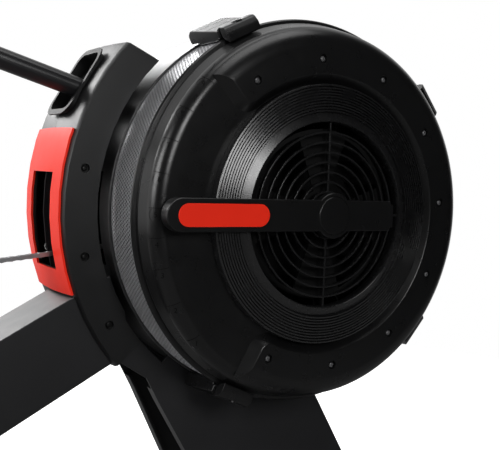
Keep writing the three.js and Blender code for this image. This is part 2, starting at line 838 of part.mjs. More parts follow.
function footTube(x, half) {
  const section = (inset) => roundedRectangle(x - footWidth / 2 + inset, x + footWidth / 2 - inset,
    footZ[0] + inset, footZ[1] - inset, 14 - inset);
  return cut(prism(section(0), -half, half, 'y'), prism(section(tubeWall), -half - 1, half + 1, 'y'));
}

function footCap(x, half, side) {
  const [low, high] = side > 0 ? [half + fit, half + footCapLength] : [-half - footCapLength, -half - fit];
  const grow = 3;
  return prism(roundedRectangle(x - footWidth / 2 - grow, x + footWidth / 2 + grow,
    floorZ, footZ[1] + grow, 15), low, high, 'y');
}

const footTubeHalf = footHalf - footCapLength;
const wheelX = frontFootX + footWidth / 2 + wheelRadius + 8;
const wheelZ = floorZ + wheelRadius + 3;
const wheelY = 210;

function frontFoot() {
  const ears = [-1, 1].flatMap((side) => [-1, 1].map((cheek) => {
    const middle = side * wheelY + cheek * (wheelWidth / 2 + 4);
    return prism([
      [frontFootX + footWidth / 2 - 6, footZ[0] + 12], [wheelX, wheelZ - 14], [wheelX + 14, wheelZ],
      [wheelX + 10, wheelZ + 14], [frontFootX + footWidth / 2 - 6, footZ[1] - 10],
    ], middle - 2, middle + 2, 'y');
  }));
  const bores = [-1, 1].map((side) =>
    rod(wheelAxle + fit, side * wheelY - 40, side * wheelY + 40, 'y', [wheelX, wheelZ], 12));
  return cut(join(footTube(frontFootX, footTubeHalf), ...ears), ...bores);
}

function transportWheel(side) {
  const middle = side * wheelY;
  const half = wheelWidth / 2;
  const wheel = spun([
    [0, -half - 8], [wheelAxle, -half - 8], [wheelAxle, -half + 4], [wheelRadius - 6, -half],
    [wheelRadius, -half + 5], [wheelRadius, half - 5], [wheelRadius - 6, half], [wheelAxle, half - 4],
    [wheelAxle, half + 8], [0, half + 8],
  ], 14);
  return wheel.translate(wheelX, middle, wheelZ);
}

const rearFootX = railRear + 110;

function rearLeg() {
  const top = railTopZ - railDepth - fit;
  const bottom = footZ[1] + fit;
  const post = prism([
    [rearFootX - 36, bottom], [rearFootX + 36, bottom], [rearFootX + 28, top - 10],
    [rearFootX + 60, top - 10], [rearFootX + 60, top], [rearFootX - 60, top], [rearFootX - 60, top - 10],
    [rearFootX - 28, top - 10],
  ], -railHalf, railHalf, 'y');
  return post;
}

// ---------------------------------------------------------------- seat
const rollerZ = railTopZ + fit + rollerRadius;
const carriageTop = rollerZ + rollerRadius + 8;
const carriageHalf = railFlangeHalf + 8;

function seatCarriage() {
  const half = carriageHalf;
  const plate = prism(roundedRectangle(seatRest - 90, seatRest + 90, -70, 70, 16),
    carriageTop - 5, carriageTop, 'z');
  const keeperTop = railTopZ - railFlange - 8;
  const cheekFoot = keeperTop - 8;
  const cheeks = [-1, 1].map((side) => prism([
    [seatRest - 84, carriageTop - 2],
    [seatRest - 78, rollerZ - 14],
    [seatRest - 40, cheekFoot],
    [seatRest + 40, cheekFoot],
    [seatRest + 78, rollerZ - 14],
    [seatRest + 84, carriageTop - 2],
  ], side > 0 ? half - 4 : -half, side > 0 ? half : -half + 4, 'y'));
  // Keepers run under the rail's flanges, so the seat can't lift off.
  const keepers = [-1, 1].map((side) => prism(
    rectangle(seatRest - 34, seatRest + 34, keeperTop - 6, keeperTop),
    side > 0 ? railHalf + 1.5 : -half + 1, side > 0 ? half - 1 : -railHalf - 1.5, 'y'));
  const bores = [-1, 1].map((end) => rod(rollerAxle + fit, -half - 5, half + 5, 'y',
    [seatRest + (end * rollerSpread) / 2, rollerZ], 12));
  return cut(join(plate, ...cheeks, ...keepers), ...bores);
}

function seatRollers(end) {
  const outer = railFlangeHalf - 3;
  const inner = outer - rollerWidth;
  const axle = rod(rollerAxle, -carriageHalf - 1.5, carriageHalf + 1.5, 'y', [0, 0], 10);
  const roller = (side) => spun([
    [0, inner],
    [rollerRadius - 3, inner],
    [rollerRadius, inner + 2],
    [rollerRadius, outer],
    [0, outer],
  ], 14).scale(1, side, 1);
  return join(axle, roller(1), roller(-1)).translate(seatRest + (end * rollerSpread) / 2, 0, rollerZ);
}

function seatPad() {
  const l = seatLength / 2;
  const w = seatWidth / 2;
  const outline = [
    [-l + 34, -34], [-l + 46, 0], [-l + 34, 34], [-l, 70],
    ...arc(50, 180, 90, 3, [-l + 50, w - 50]),
    ...arc(70, 90, 0, 3, [l - 70, w - 76]),
    [l, 0],
    ...arc(70, 0, -90, 3, [l - 70, -w + 76]),
    ...arc(50, -90, -180, 3, [-l + 50, -w + 50]),
    [-l, -70],
  ];
  return prism(outline, 0, seatPadThickness, 'z', 8).translate(seatRest, 0, carriageTop + fit);
}

// ---------------------------------------------------------------- foot plates
const heelZ = floorZ + heelHeight;
// Things on a foot plate are drawn level, from the heel at the origin towards +X, then tilted.
const onFootPlate = (geometry, side) =>
  turned(geometry, -footAngle).translate(heelX, side * footPlateY, heelZ);

function footPlate(side) {
  const w = plateWidth / 2;
  const t = footPlateThickness;
  const board = prism(roundedRectangle(0, plateLength, -w, w, 22, 4), -t, 0, 'z');
  const edges = [-1, 1].map((edge) => prism(
    rectangle(96, plateLength - 60, edge > 0 ? w - 8 : -w, edge > 0 ? w : -w + 8), -1, 9, 'z'));
  const ribs = [-1, 1].map((edge) => prism([
    [120, -t + 1], [138, -ribDepth], [190, -ribDepth], [220, -t + 1],
  ], edge * 30 - 3, edge * 30 + 3, 'y'));
  const slot = prism(roundedRectangle(30, 120, -studSlot, studSlot, studSlot - 0.1), -20, 5, 'z');
  return onFootPlate(cut(join(board, ...edges, ...ribs), slot), side);
}

function heelCup(side) {
  const w = plateWidth / 2 - 12;
  const base = prism(roundedRectangle(6, 118, -w, w, 18), fit, 5, 'z');
  const wallOutline = [
    ...arc(w, 90, 270, 8, [w + 2, 0]), [70, -w], [70, -w + 5],
    ...arc(w - 5, 270, 90, 8, [w + 2, 0]), [70, w - 5], [70, w],
  ];
  const wall = prism(wallOutline, 3, 42, 'z');
  const studHalf = studSlot - runningGap;
  const stud = prism(roundedRectangle(68, 80, -studHalf, studHalf, studHalf - 0.1),
    -footPlateThickness - 6, 2, 'z');
  return onFootPlate(join(base, wall, stud), side);
}

function footStrap(side) {
  const inner = plateWidth / 2 + 1.4;
  const outer = inner + strapThickness;
  const top = -footPlateThickness - 0.6;
  const low = top - strapThickness;
  const end = plateWidth / 2 - 6;
  // An arched run over the foot, with both ends turned in under the plate.
  const arch = (half, rise, from, to) => arc(1, from, to, 12).map(([y, z]) => [y * half, 10 + z * rise]);
  const outline = [
    [outer, low],
    ...arch(outer, strapRise, 0, 180),
    [-outer, low], [-end, low], [-end, top], [-inner, top],
    ...arch(inner, strapRise - strapThickness, 180, 0),
    [inner, top], [end, top], [end, low],
  ];
  return onFootPlate(prism(outline, strapMiddle - strapWidth / 2, strapMiddle + strapWidth / 2, 'x'), side);
}

// A saddle over the knee between the beam and its level end, with a cross tube under the plates.
function footrestFrame() {
  const [dx, dz] = polar(1, footAngle);
  const drop = ribDepth + footTubeRadius;
  const tube = [heelX + tubeAlong * dx + drop * dz, heelZ + tubeAlong * dz - drop * dx];
  const inner = beamHalf + fit;
  const outer = inner + saddleWall;
  const rear = tube[0] - saddleHalf;
  const front = tube[0] + saddleHalf;
  const knee = Math.min(beamKnee, front - 1);
  const crown = Math.max(railTopZ, beamTop(front));
  const cheek = (side) => prism([
    [rear, railTopZ + saddleWall], [rear, tube[1] - 24], [front, tube[1] - 24], [front, crown + saddleWall],
  ], side > 0 ? inner : -outer, side > 0 ? outer : -inner, 'y');
  const saddle = prism([
    [rear, railTopZ + fit],
    [rear, railTopZ + saddleWall + 1],
    [knee, railTopZ + saddleWall + 1],
    [front, crown + saddleWall + 1],
    [front, crown + fit],
    [knee, railTopZ + fit],
  ], -outer, outer, 'y');
  const reach = footPlateY + plateWidth / 2 - 6;
  const tubeArm = (side) => rod(footTubeRadius, side > 0 ? inner + 1 : -reach, side > 0 ? reach : -inner - 1,
    'y', tube, 16);
  return join(saddle, cheek(1), cheek(-1), tubeArm(1), tubeArm(-1));
}

// ---------------------------------------------------------------- handle
function handleArm(radius, from, to, side, sides) {
  const arm = rod(radius, from, to, 'y', [0, 0], sides);
  if (side < 0) arm.scale(1, -1, 1);
  arm.translate(0, -side * handleCentre, 0);
  arm.rotateZ(rad(side * handleSweep));
  return arm.translate(handleX, side * handleCentre, handleZ);
}

function handleBar() {
  const middle = rod(handleRadius, -handleCentre, handleCentre, 'y', [handleX, handleZ], 16);
  const arms = [-1, 1].map((side) => handleArm(handleRadius, handleCentre - 3, handleSpan - 4, side, 16));
  const lug = prism(roundedRectangle(handleX, handleX + 34, handleZ - 9, handleZ + 9, 8), -9, 9, 'y');
  const slot = prism(rectangle(handleX + 13, handleX + 40, handleZ - 12, handleZ + 12), -5, 5, 'y');
  return cut(join(middle, ...arms, lug), slot);
}

function handleGrip(side) {
  const sleeve = handleArm(gripRadius, handleCentre + 12, handleSpan, side, 16);
  const bore = handleArm(handleRadius + fit, handleCentre, handleSpan - 4 + fit, side, 16);
  return cut(sleeve, bore);
}

// The visible run of chain: rollers with side plates, from inside the drum to the handle's lug.
function chainRun() {
  const start = [-sprocketRadius - 14, -sprocketRadius - 2];
  const end = [handleX + 22, handleZ];
  const length = Math.hypot(end[0] - start[0], end[1] - start[1]);
  const count = Math.floor(length / chainPitch);
  const pitch = length / count;
  const slope = Math.atan2(end[1] - start[1], end[0] - start[0]);
  const plates = [];
  for (let i = 0; i < count; i += 1) {
    const reach = i % 2 ? 4.2 : 3.1;
    const u = i * pitch;
    plates.push(prism(rectangle(u - 2, u + pitch + 2, -chainHalf, chainHalf), -reach, reach, 'y'));
  }
  return join(...plates).rotateY(-slope).translate(start[0], 0, start[1]);
}

function handleRest() {
  const x = handleX + handleRadius + fit;
  const under = handleZ - handleRadius - fit;
  const foot = x + 26;
  const arm = (side) => prism([
    [foot, beamTop(foot) + fit], [foot, under + 2], [x + 8, handleZ + 14], [x, handleZ + 12], [x, under],
    [x - 22, under], [x - 22, under - 5], [x - 6, under - 9], [foot - 16, under - 30],
    [foot - 16, beamTop(foot - 16) + fit],
  ], side * 34 - 3, side * 34 + 3, 'y');
  const sole = prism([
    [foot + 24, beamTop(foot + 24) + fit], [foot + 24, beamTop(foot + 24) + 4],
    [foot - 30, beamTop(foot - 30) + 4], [foot - 30, beamTop(foot - 30) + fit],
  ], -40, 40, 'y');
  return join(arm(1), arm(-1), sole);
}

// ---------------------------------------------------------------- monitor
const armPivot = polar(armPivotRadius, armPivotAngle);

// Drawn along -X from the pivot, then raised.
function monitorArm() {
  const tube = prism(circle(armRadius, [0, 0], 16), -armLength, 0, 'x');
  const eye = rod(armRadius, -12, 12, 'y', [0, 0], 16);
  const tongue = prism(roundedRectangle(-hingeReach - 10, -armLength + 6, -10, 10, 9), -5, 5, 'y');
  const hollow = prism(circle(armRadius - tubeWall, [0, 0], 16), -armLength + 10, armRadius + 1, 'x');
  const bores = [[0, 0], [-hingeReach, 0]].map((place) => rod(pinRadius + fit, -30, 30, 'y', place, 16));
  const arm = cut(join(tube, eye, tongue), hollow, ...bores);
  return turned(arm, armRise).translate(armPivot[0], 0, armPivot[1]);
}

const [armCos, armSin] = polar(1, armRise);
const hinge = [armPivot[0] - hingeReach * armCos, armPivot[1] + hingeReach * armSin];

// Monitor pieces are drawn upright about their hinge, screen towards -X, then leaned back.
const onMonitor = (geometry) => turned(geometry, monitorTilt).translate(hinge[0], 0, hinge[1]);

const monitorHalf = monitorWidth / 2;
const monitorBack = 10;
const monitorFace = monitorBack - monitorDepth;
const monitorTop = monitorLow + monitorHeight;
const buttonZ = monitorLow + 22;
const buttonPlaces = Array.from({ length: buttonCount }, (_, i) => (i - (buttonCount - 1) / 2) * buttonPitch);

const screenOutline = (clearance) => roundedRectangle(
  -monitorHalf + screenBorder + clearance, monitorHalf - screenBorder - clearance,
  buttonZ + screenAboveButtons + clearance, monitorTop - screenBorder - clearance, 8);

const buttonOutline = (y, grow) => roundedRectangle(
  y - buttonHalf - grow, y + buttonHalf + grow, buttonZ - 6 - grow, buttonZ + 6 + grow, 4.7 + grow);

function monitorHousing() {
  const outline = roundedRectangle(-monitorHalf, monitorHalf, monitorLow, monitorTop, 18, 3);
  const shell = prism(outline, monitorFace, monitorBack, 'x', 5);
  const ears = [-1, 1].map((side) => prism([
    [-9, monitorLow + 8], [9, monitorLow + 8], ...arc(10, 0, -180, 6),
  ], side > 0 ? 5 + runningGap : -11, side > 0 ? 11 : -5 - runningGap, 'y'));
  const window = prism(screenOutline(0), monitorFace - 1, monitorFace + 3, 'x');
  const wells = buttonPlaces.map((y) =>
    prism(buttonOutline(y, runningGap), monitorFace - 1, monitorFace + buttonWell, 'x'));
  const bore = rod(pinRadius + fit, -30, 30, 'y', [0, 0], 16);
  return onMonitor(cut(join(shell, ...ears), window, ...wells, bore));
}

const monitorScreen = () =>
  onMonitor(prism(screenOutline(fit), monitorFace + 0.6, monitorFace + 3 - fit, 'x'));

const monitorButton = (y) => onMonitor(prism(buttonOutline(y, 0),
  monitorFace - buttonRise, monitorFace + buttonWell - buttonTravel - fit, 'x'));

// ---------------------------------------------------------------- assembly
add('front_leg', frontLeg(), frameSteel());
add('main_beam', mainBeam(), frameSteel());
add('seat_rail', seatRail(), finish(0x8f9194, 0.4, 0.8));
add('rail_end_cap', railEndCap(), rubber());
add('housing_near_shell', housingShell(-1), charcoal());
add('housing_far_shell', housingShell(1), charcoal());
add('housing_panel', housingPanel(), red());
add('arm_slot_collar', armCollar(), charcoal());
add('fan_case', fanCase(), matteBlack());
add('far_cover', farCover(), glossBlack());
add('near_cover', nearCover(), glossBlack());
add('mesh_band', meshBand(), steel());
latchAngles.forEach((angle, i) => add(`cover_latch_${i + 1}`, latch(angle), glossBlack()));
add('vent_grille', ventGrille(), glossBlack());
add('damper_shutter', damperShutter(), matteBlack());
add('damper_lever', damperLever(), glossBlack());
add('lever_insert', leverInsert(), red());
add('lever_hub_cap', hubCap(), glossBlack());
add('fan_wheel', fanWheel(), finish(0x55585c, 0.45, 0.6));
add('fan_axle', fanAxle(), steel());
add('near_bearing', bearing(barrelNear), steel());
add('far_bearing', bearing(barrelFar + fit - bearingWidth), steel());
add('sprocket', sprocket(), steel());
add('front_foot', frontFoot(), frameSteel());
add('rear_leg', rearLeg(), frameSteel());
add('rear_foot', footTube(rearFootX, footTubeHalf), frameSteel());
[['left', 1], ['right', -1]].forEach(([hand, side]) => {
  add(`front_foot_cap_${hand}`, footCap(frontFootX, footTubeHalf, side), rubber());
  add(`rear_foot_cap_${hand}`, footCap(rearFootX, footTubeHalf, side), rubber());
  add(`transport_wheel_${hand}`, transportWheel(side), rubber());
  add(`foot_plate_${hand}`, footPlate(side), matteBlack());
  add(`heel_cup_${hand}`, heelCup(side), matteBlack());
  add(`foot_strap_${hand}`, footStrap(side), finish(0x1a1a1c, 0.9));
  add(`handle_grip_${hand}`, handleGrip(side), rubber());
});
add('footrest_frame', footrestFrame(), frameSteel());
add('seat_carriage', seatCarriage(), frameSteel());
add('front_seat_rollers', seatRollers(1), finish(0x3a3b3d, 0.5));
add('rear_seat_rollers', seatRollers(-1), finish(0x3a3b3d, 0.5));
add('seat_pad', seatPad(), finish(0x1c1c1e, 0.8));
add('handle_bar', handleBar(), steel());
add('pull_chain', chainRun(), steel());
add('handle_rest', handleRest(), frameSteel());
add('monitor_arm', monitorArm(), matteBlack());
add('arm_pivot_pin', rod(pinRadius, -plateOuter - 0.6, plateOuter + 0.6, 'y', armPivot, 16), steel());
add('monitor_housing', monitorHousing(), matteBlack());
add('monitor_hinge_pin', rod(pinRadius, -13, 13, 'y', hinge, 16), steel());
add('monitor_screen', monitorScreen(), finish(0x0b1013, 0.15));
buttonPlaces.forEach((y, i) => add(`monitor_button_${i + 1}`, monitorButton(y), finish(0x3b3c40, 0.6)));

// Stand the machine on the floor, with the middle of its length over the origin.
const extent = new THREE.Box3().setFromObject(machine);
machine.position.set(-(extent.min.x + extent.max.x) / 2, 0, drumHeight);

export default machine;
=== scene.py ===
from bisect import bisect
from math import asin, cos, degrees, exp, pi, radians, sin, sqrt, tan

import bmesh
import bpy
from mathutils import Matrix, Vector
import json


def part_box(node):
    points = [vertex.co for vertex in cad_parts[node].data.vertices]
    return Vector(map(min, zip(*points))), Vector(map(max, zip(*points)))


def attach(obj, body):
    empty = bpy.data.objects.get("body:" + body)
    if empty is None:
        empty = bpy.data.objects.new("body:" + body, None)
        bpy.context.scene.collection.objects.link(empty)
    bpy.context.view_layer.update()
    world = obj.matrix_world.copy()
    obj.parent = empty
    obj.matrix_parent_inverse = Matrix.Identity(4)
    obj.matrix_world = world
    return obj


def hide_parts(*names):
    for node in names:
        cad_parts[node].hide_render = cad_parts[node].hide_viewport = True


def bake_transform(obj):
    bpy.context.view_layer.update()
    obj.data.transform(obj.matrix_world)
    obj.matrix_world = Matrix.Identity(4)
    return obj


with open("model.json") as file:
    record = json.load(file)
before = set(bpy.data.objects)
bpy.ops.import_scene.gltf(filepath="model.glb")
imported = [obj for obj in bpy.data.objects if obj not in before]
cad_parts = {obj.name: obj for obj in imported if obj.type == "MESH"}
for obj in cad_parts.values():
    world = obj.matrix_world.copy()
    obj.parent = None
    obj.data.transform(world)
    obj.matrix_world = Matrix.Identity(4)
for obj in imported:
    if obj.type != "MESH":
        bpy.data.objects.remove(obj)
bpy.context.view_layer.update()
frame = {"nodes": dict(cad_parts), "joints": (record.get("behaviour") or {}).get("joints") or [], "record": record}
scene = bpy.context.scene
scene.view_settings.view_transform = "Standard"

# The viewer stands at the machine's right side, a little behind the drum towards the rower and
# level with its upper half, and looks slightly down at the vented cover.
MM = 0.001
joints = {joint["name"]: joint for joint in frame["joints"]}
drum = Vector(joints["damper_turn"]["pos_m"])
camera = bpy.data.objects.new("camera", bpy.data.cameras.new("camera"))
scene.collection.objects.link(camera)
camera.data.sensor_width = 36
camera.data.lens = 59.26
EYE, BEARING, DOWN = Vector((-0.684, -1.076, 0.090)), radians(32), radians(5.28)
camera.location = drum + EYE
view = Vector((sin(BEARING), cos(BEARING), -tan(DOWN)))
camera.rotation_euler = view.to_track_quat("-Z", "Y").to_euler()
scene.camera = camera

# The floor and the room are plain white. What looks at them sees white, and the side behind the
# viewer stays dim, as in a studio that is lit from above and behind.


class Wire:
    """One value in a node tree; arithmetic on it adds Math nodes."""

    def __init__(self, shader, socket):
        self.shader, self.socket = shader, socket

    def math(self, operation, first, second):
        return self.shader.node("ShaderNodeMath", {"operation": operation}, {0: first, 1: second})

    def __add__(self, other):
        return self.math("ADD", self, other)

    def __sub__(self, other):
        return self.math("SUBTRACT", self, other)

    def __rsub__(self, other):
        return self.math("SUBTRACT", other, self)

    def __mul__(self, other):
        return self.math("MULTIPLY", self, other)

    __radd__ = __add__
    __rmul__ = __mul__


class Nodes:
    """The node tree of one material or of the world."""

    def __init__(self, owner):
        owner.use_nodes = True
        self.owner, self.tree = owner, owner.node_tree

    def node(self, kind, settings=None, inputs=None, output=0):
        node = self.tree.nodes.new(kind)
        for name, value in (settings or {}).items():
            setattr(node, name, value)
        for name, value in (inputs or {}).items():
            self.join(node.inputs[name], value)
        return Wire(self, node.outputs[output]) if len(node.outputs) else None

    def join(self, socket, value):
        if isinstance(value, Wire):
            self.tree.links.new(value.socket, socket)
        else:
            socket.default_value = value


room = Nodes(bpy.data.worlds.new("room"))
scene.world = room.owner
room.tree.nodes.clear()
seen = room.node("ShaderNodeLightPath", output="Is Camera Ray")
through = room.node("ShaderNodeLightPath", output="Is Transmission Ray")
direction = room.node("ShaderNodeTexCoord", output="Generated")
across = room.node("ShaderNodeSeparateXYZ", inputs={0: direction}, output="Y")
behind = room.node("ShaderNodeMapRange", {"interpolation_type": "SMOOTHSTEP"},
                   {"Value": across, "From Min": -0.05, "From Max": 0.6, "To Min": 0.012, "To Max": 1.0})
level = seen + through + (1 - seen - through) * behind
light = room.node("ShaderNodeBackground", inputs={"Color": (1, 1, 1, 1), "Strength": level})
room.node("ShaderNodeOutputWorld", inputs={"Surface": light})


def softbox(name, offset, size, power):
    """A rectangular lamp at an offset from the drum, which it is turned to."""
    lamp = bpy.data.objects.new(name, bpy.data.lights.new(name, "AREA"))
    lamp.data.shape = "RECTANGLE"
    lamp.data.size, lamp.data.size_y = size
    lamp.data.energy = power
    lamp.location = drum + Vector(offset)
    lamp.rotation_euler = (drum - lamp.location).to_track_quat("-Z", "Y").to_euler()
    scene.collection.objects.link(lamp)


softbox("overhead", (0.1, -0.4, 1.7), (1.4, 0.8), 9)
softbox("front", (-0.24, -1.9, 0.6), (0.7, 0.6), 13)
softbox("left", (-1.95, -0.25, 0.7), (1.0, 1.0), 20)
softbox("behind", (-0.9, 1.7, 1.0), (1.3, 0.8), 22)
softbox("window", (0.62, 1.8, 0.82), (0.7, 0.5), 14)

bm = bmesh.new()
bmesh.ops.create_circle(bm, cap_ends=True, segments=96, radius=2.6)
floor_mesh = bpy.data.meshes.new("floor")
bm.to_mesh(floor_mesh)
bm.free()
floor = bpy.data.objects.new("floor", floor_mesh)
scene.collection.objects.link(floor)
floor.location.z = -0.0005
paper = Nodes(bpy.data.materials.new("white_paper"))
paper.tree.nodes.clear()
path = paper.node("ShaderNodeLightPath", output="Is Camera Ray")
mirrored = paper.node("ShaderNodeLightPath", output="Is Glossy Ray")
there = paper.node("ShaderNodeTexCoord", output="Object")
depth = paper.node("ShaderNodeSeparateXYZ", inputs={0: there}, output="Y")
beyond = paper.node("ShaderNodeMapRange", {"interpolation_type": "SMOOTHSTEP"},
                    {"Value": depth, "From Min": 0.15, "From Max": 0.6, "To Min": 0.04, "To Max": 0.17})
glow = paper.node("ShaderNodeEmission", inputs={"Strength": path * 0.75 + mirrored * beyond})
shade = paper.node("ShaderNodeMix", {"data_type": "RGBA"}, {
    "Factor": mirrored, "A": (0.8, 0.8, 0.8, 1), "B": (0.1, 0.1, 0.1, 1)}, output="Result")
cloth = paper.node("ShaderNodeBsdfDiffuse", inputs={"Color": shade})
both = paper.node("ShaderNodeAddShader", inputs={0: glow, 1: cloth})
paper.node("ShaderNodeOutputMaterial", inputs={"Surface": both})
floor_mesh.materials.append(paper.owner)

# The main beam and the forked front leg are welded from folded steel plate and powder coated in a
# dark grey; every folded edge is slightly round.


class Finish(Nodes):
    """A material made of one Principled shader, and the record's slot that it belongs to."""

    def __init__(self, name, slot):
        super().__init__(bpy.data.materials.new(name))
        self.slot = slot
        self.shader = self.tree.nodes["Principled BSDF"]
        self.place = self.node("ShaderNodeTexCoord", output="Object")

    def set(self, name, value):
        self.join(self.shader.inputs[name], value)
        return self

    def noise(self, period, detail=2.0, stretch=(1, 1, 1)):
        spread = self.node("ShaderNodeMapping", inputs={"Vector": self.place, "Scale": stretch})
        return self.node("ShaderNodeTexNoise", inputs={
            "Vector": spread, "Scale": 1 / period, "Detail": detail}, output="Fac")

    def tint(self, mask, low, high):
        return self.node("ShaderNodeMix", {"data_type": "RGBA"}, {
            "Factor": mask, "A": (*low, 1), "B": (*high, 1)}, output="Result")

    def relief(self, height, depth):
        return self.node("ShaderNodeBump", inputs={"Height": height, "Distance": depth, "Strength": 1.0})


def coated(name, slot, dark, pale, roughness, grain, relief, metallic=0.0, stretch=(1, 1, 1)):
    """Colour that drifts between two tones, uneven gloss and a fine relief over the surface."""
    made = Finish(name, slot)
    drift = made.noise(0.09, 3.0)
    made.set("Base Color", made.tint(drift, dark, pale))
    made.set("Roughness", made.noise(0.022, 4.0) * 0.12 + (roughness - 0.06))
    made.set("Normal", made.relief(made.noise(grain, 2.0, stretch), relief))
    return made.set("Metallic", metallic)


frame_paint = coated("frame_paint", "frame_paint", (0.0095, 0.0095, 0.0106), (0.0130, 0.0130, 0.0145),
                     0.42, 0.0022, 0.00006)


def piece(name, bm, finish, body, replaces=(), sharp=32):
    """A finished mesh object that rides on a body and stands for CAD nodes."""
    for face in bm.faces:
        face.smooth = True
    for edge in bm.edges:
        edge.smooth = edge.is_manifold and edge.calc_face_angle(0) < radians(sharp)
    mesh = bpy.data.meshes.new(name)
    bm.to_mesh(mesh)
    bm.free()
    made = bpy.data.objects.new(name, mesh)
    scene.collection.objects.link(made)
    mesh.materials.append(finish.owner)
    shading = made.modifiers.new("even_shading", "WEIGHTED_NORMAL")
    shading.keep_sharp = True
    if body:
        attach(made, body)
    if replaces:
        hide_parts(*replaces)
    return made


def copied(node):
    """A merged copy of a CAD node's mesh, with its flat faces whole again."""
    bm = bmesh.new()
    bm.from_mesh(frame["nodes"][node].data)
    bmesh.ops.remove_doubles(bm, verts=bm.verts, dist=0.00002)
    bmesh.ops.dissolve_limit(bm, angle_limit=radians(0.5), verts=bm.verts, edges=bm.edges)
    return bm


def eased(bm, width, angle=25, segments=2):
    """Rounds every edge that turns by more than the angle."""
    edges = [edge for edge in bm.edges if edge.is_manifold and edge.calc_face_angle(0) > radians(angle)]
    bmesh.ops.bevel(bm, geom=edges, offset=width, offset_type="OFFSET", segments=segments,
                    profile=0.5, affect="EDGES", clamp_overlap=True, material=-1)
    return bm


def body_of(node):
    return next(body for body, nodes in frame["record"]["behaviour"]["bodies"].items() if node in nodes)


def dressed(node, finish, width, angle=25):
    """The CAD node's own shape with its edges eased."""
    return piece(f"{node}_finished", eased(copied(node), width, angle), finish, body_of(node), (node,))


for node in ("front_leg", "main_beam"):
    dressed(node, frame_paint, 0.0016)

# The rail is an aluminium extrusion with a bright running face; a moulded rubber cap closes its
# rear end and stands up over it as the seat's stop.
rail_metal = coated("rail_metal", "rail_metal", (0.33, 0.335, 0.34), (0.42, 0.425, 0.43), 0.34,
                    0.0012, 0.00004, metallic=0.85, stretch=(0.02, 1, 1))
rubber = coated("black_rubber", "black_rubber", (0.012, 0.012, 0.012), (0.020, 0.020, 0.020), 0.62,
                0.0016, 0.00008)
dressed("seat_rail", rail_metal, 0.0008)
dressed("rail_end_cap", rubber, 0.003)

# Two cross feet carry the machine. Each is an oval steel tube with a rubber cap on both ends, and
# the front one also holds two small rollers on which the machine is wheeled away.
for node in ("front_foot", "rear_foot", "rear_leg"):
    dressed(node, frame_paint, 0.0014)
for end in ("front", "rear"):
    for hand in ("left", "right"):
        dressed(f"{end}_foot_cap_{hand}", rubber, 0.004)


def rounded(corners, steps=4):
    """A closed outline whose corners (u, v, radius) are turned into arcs."""
    outline = []
    for i, (u, v, radius) in enumerate(corners):
        here = Vector((u, v))
        back = Vector(corners[i - 1][:2]) - here
        ahead = Vector(corners[(i + 1) % len(corners)][:2]) - here
        if radius == 0:
            outline.append(here)
            continue
        half = back.angle(ahead) / 2
        reach = min(radius / tan(half), back.length * 0.49, ahead.length * 0.49)
        centre = here + (back.normalized() + ahead.normalized()).normalized() * reach / cos(half)
        start, end = here + back.normalized() * reach - centre, here + ahead.normalized() * reach - centre
        outline += [centre + start.slerp(end, k / steps).normalized() * start.length
                    for k in range(steps + 1)]
    return outline


def spun(outline, steps):
    """A closed outline of (radius, Y) points in millimetres, spun once round the drum's axis."""
    bm = bmesh.new()
    verts = [bm.verts.new((r * MM, y * MM, 0)) for r, y in outline]
    for i in range(len(verts)):
        bm.edges.new((verts[i - 1], verts[i]))
    bmesh.ops.spin(bm, geom=bm.verts[:] + bm.edges[:], cent=(0, 0, 0), axis=(0, -1, 0), dvec=(0, 0, 0),
                   angle=radians(360), steps=steps, use_merge=True, use_normal_flip=False,
                   use_duplicate=False)
    bmesh.ops.remove_doubles(bm, verts=bm.verts, dist=0.00001)
    bmesh.ops.recalc_face_normals(bm, faces=bm.faces)
    return bm


def moved(bm, place):
    bmesh.ops.translate(bm, verts=bm.verts, vec=place)
    return bm


wheel_plastic = coated("wheel_plastic", "black_rubber", (0.015, 0.015, 0.016), (0.024, 0.024, 0.025),
                       0.45, 0.002, 0.00005)
for hand in ("left", "right"):
    node = f"transport_wheel_{hand}"
    middle = Vector(joints[f"{hand}_wheel_turn"]["pos_m"])
    low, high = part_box(node)
    tread, hub, half = (high.z - low.z) / 2 / MM, 6, (high.y - low.y) / 2 / MM
    outline = rounded([(0, -half, 0), (hub, -half, 1), (hub, -half + 12, 1), (12, -half + 13, 2),
                       (18, -half + 12, 2), (tread - 6, -half + 8, 2), (tread, -half + 12, 3),
                       (tread, half - 12, 3), (tread - 6, half - 8, 2), (18, half - 12, 2),
                       (12, half - 13, 2), (hub, half - 12, 1), (hub, half, 1), (0, half, 0)], 3)
    piece(f"{node}_finished", moved(spun(outline, 64), middle), wheel_plastic, body_of(node), (node,))

# The fan case is the drum's far half: a rolled steel barrel with a flanged near edge, bearing
# bosses at its middle and a slot where the chain goes in, painted a dark satin grey.
case_metal = coated("case_paint", "matte_black", (0.020, 0.020, 0.021), (0.028, 0.028, 0.029), 0.36,
                    0.0025, 0.00005, metallic=0.2)


def carved(bm, operation, *tools):
    """Joins, cuts or intersects closed shapes with an exact Boolean."""
    def held(shape):
        mesh = bpy.data.meshes.new("blank")
        shape.to_mesh(mesh)
        shape.free()
        blank = bpy.data.objects.new("blank", mesh)
        scene.collection.objects.link(blank)
        return blank

    blanks = [held(shape) for shape in (bm, *tools)]
    for tool in blanks[1:]:
        step = blanks[0].modifiers.new("step", "BOOLEAN")
        step.solver, step.operation, step.object = "EXACT", operation, tool
    result = bmesh.new()
    result.from_object(blanks[0], bpy.context.evaluated_depsgraph_get())
    for blank in blanks:
        bpy.data.meshes.remove(blank.data)
    return result


def block(low, high):
    """A box between two corners in millimetres from the drum's axis."""
    bm = bmesh.new()
    size = Vector(high) - Vector(low)
    bmesh.ops.create_cube(bm, size=1, matrix=Matrix.Translation((Vector(low) + size / 2) * MM) @
                          Matrix.Diagonal((*(size * MM), 1)))
    return bm


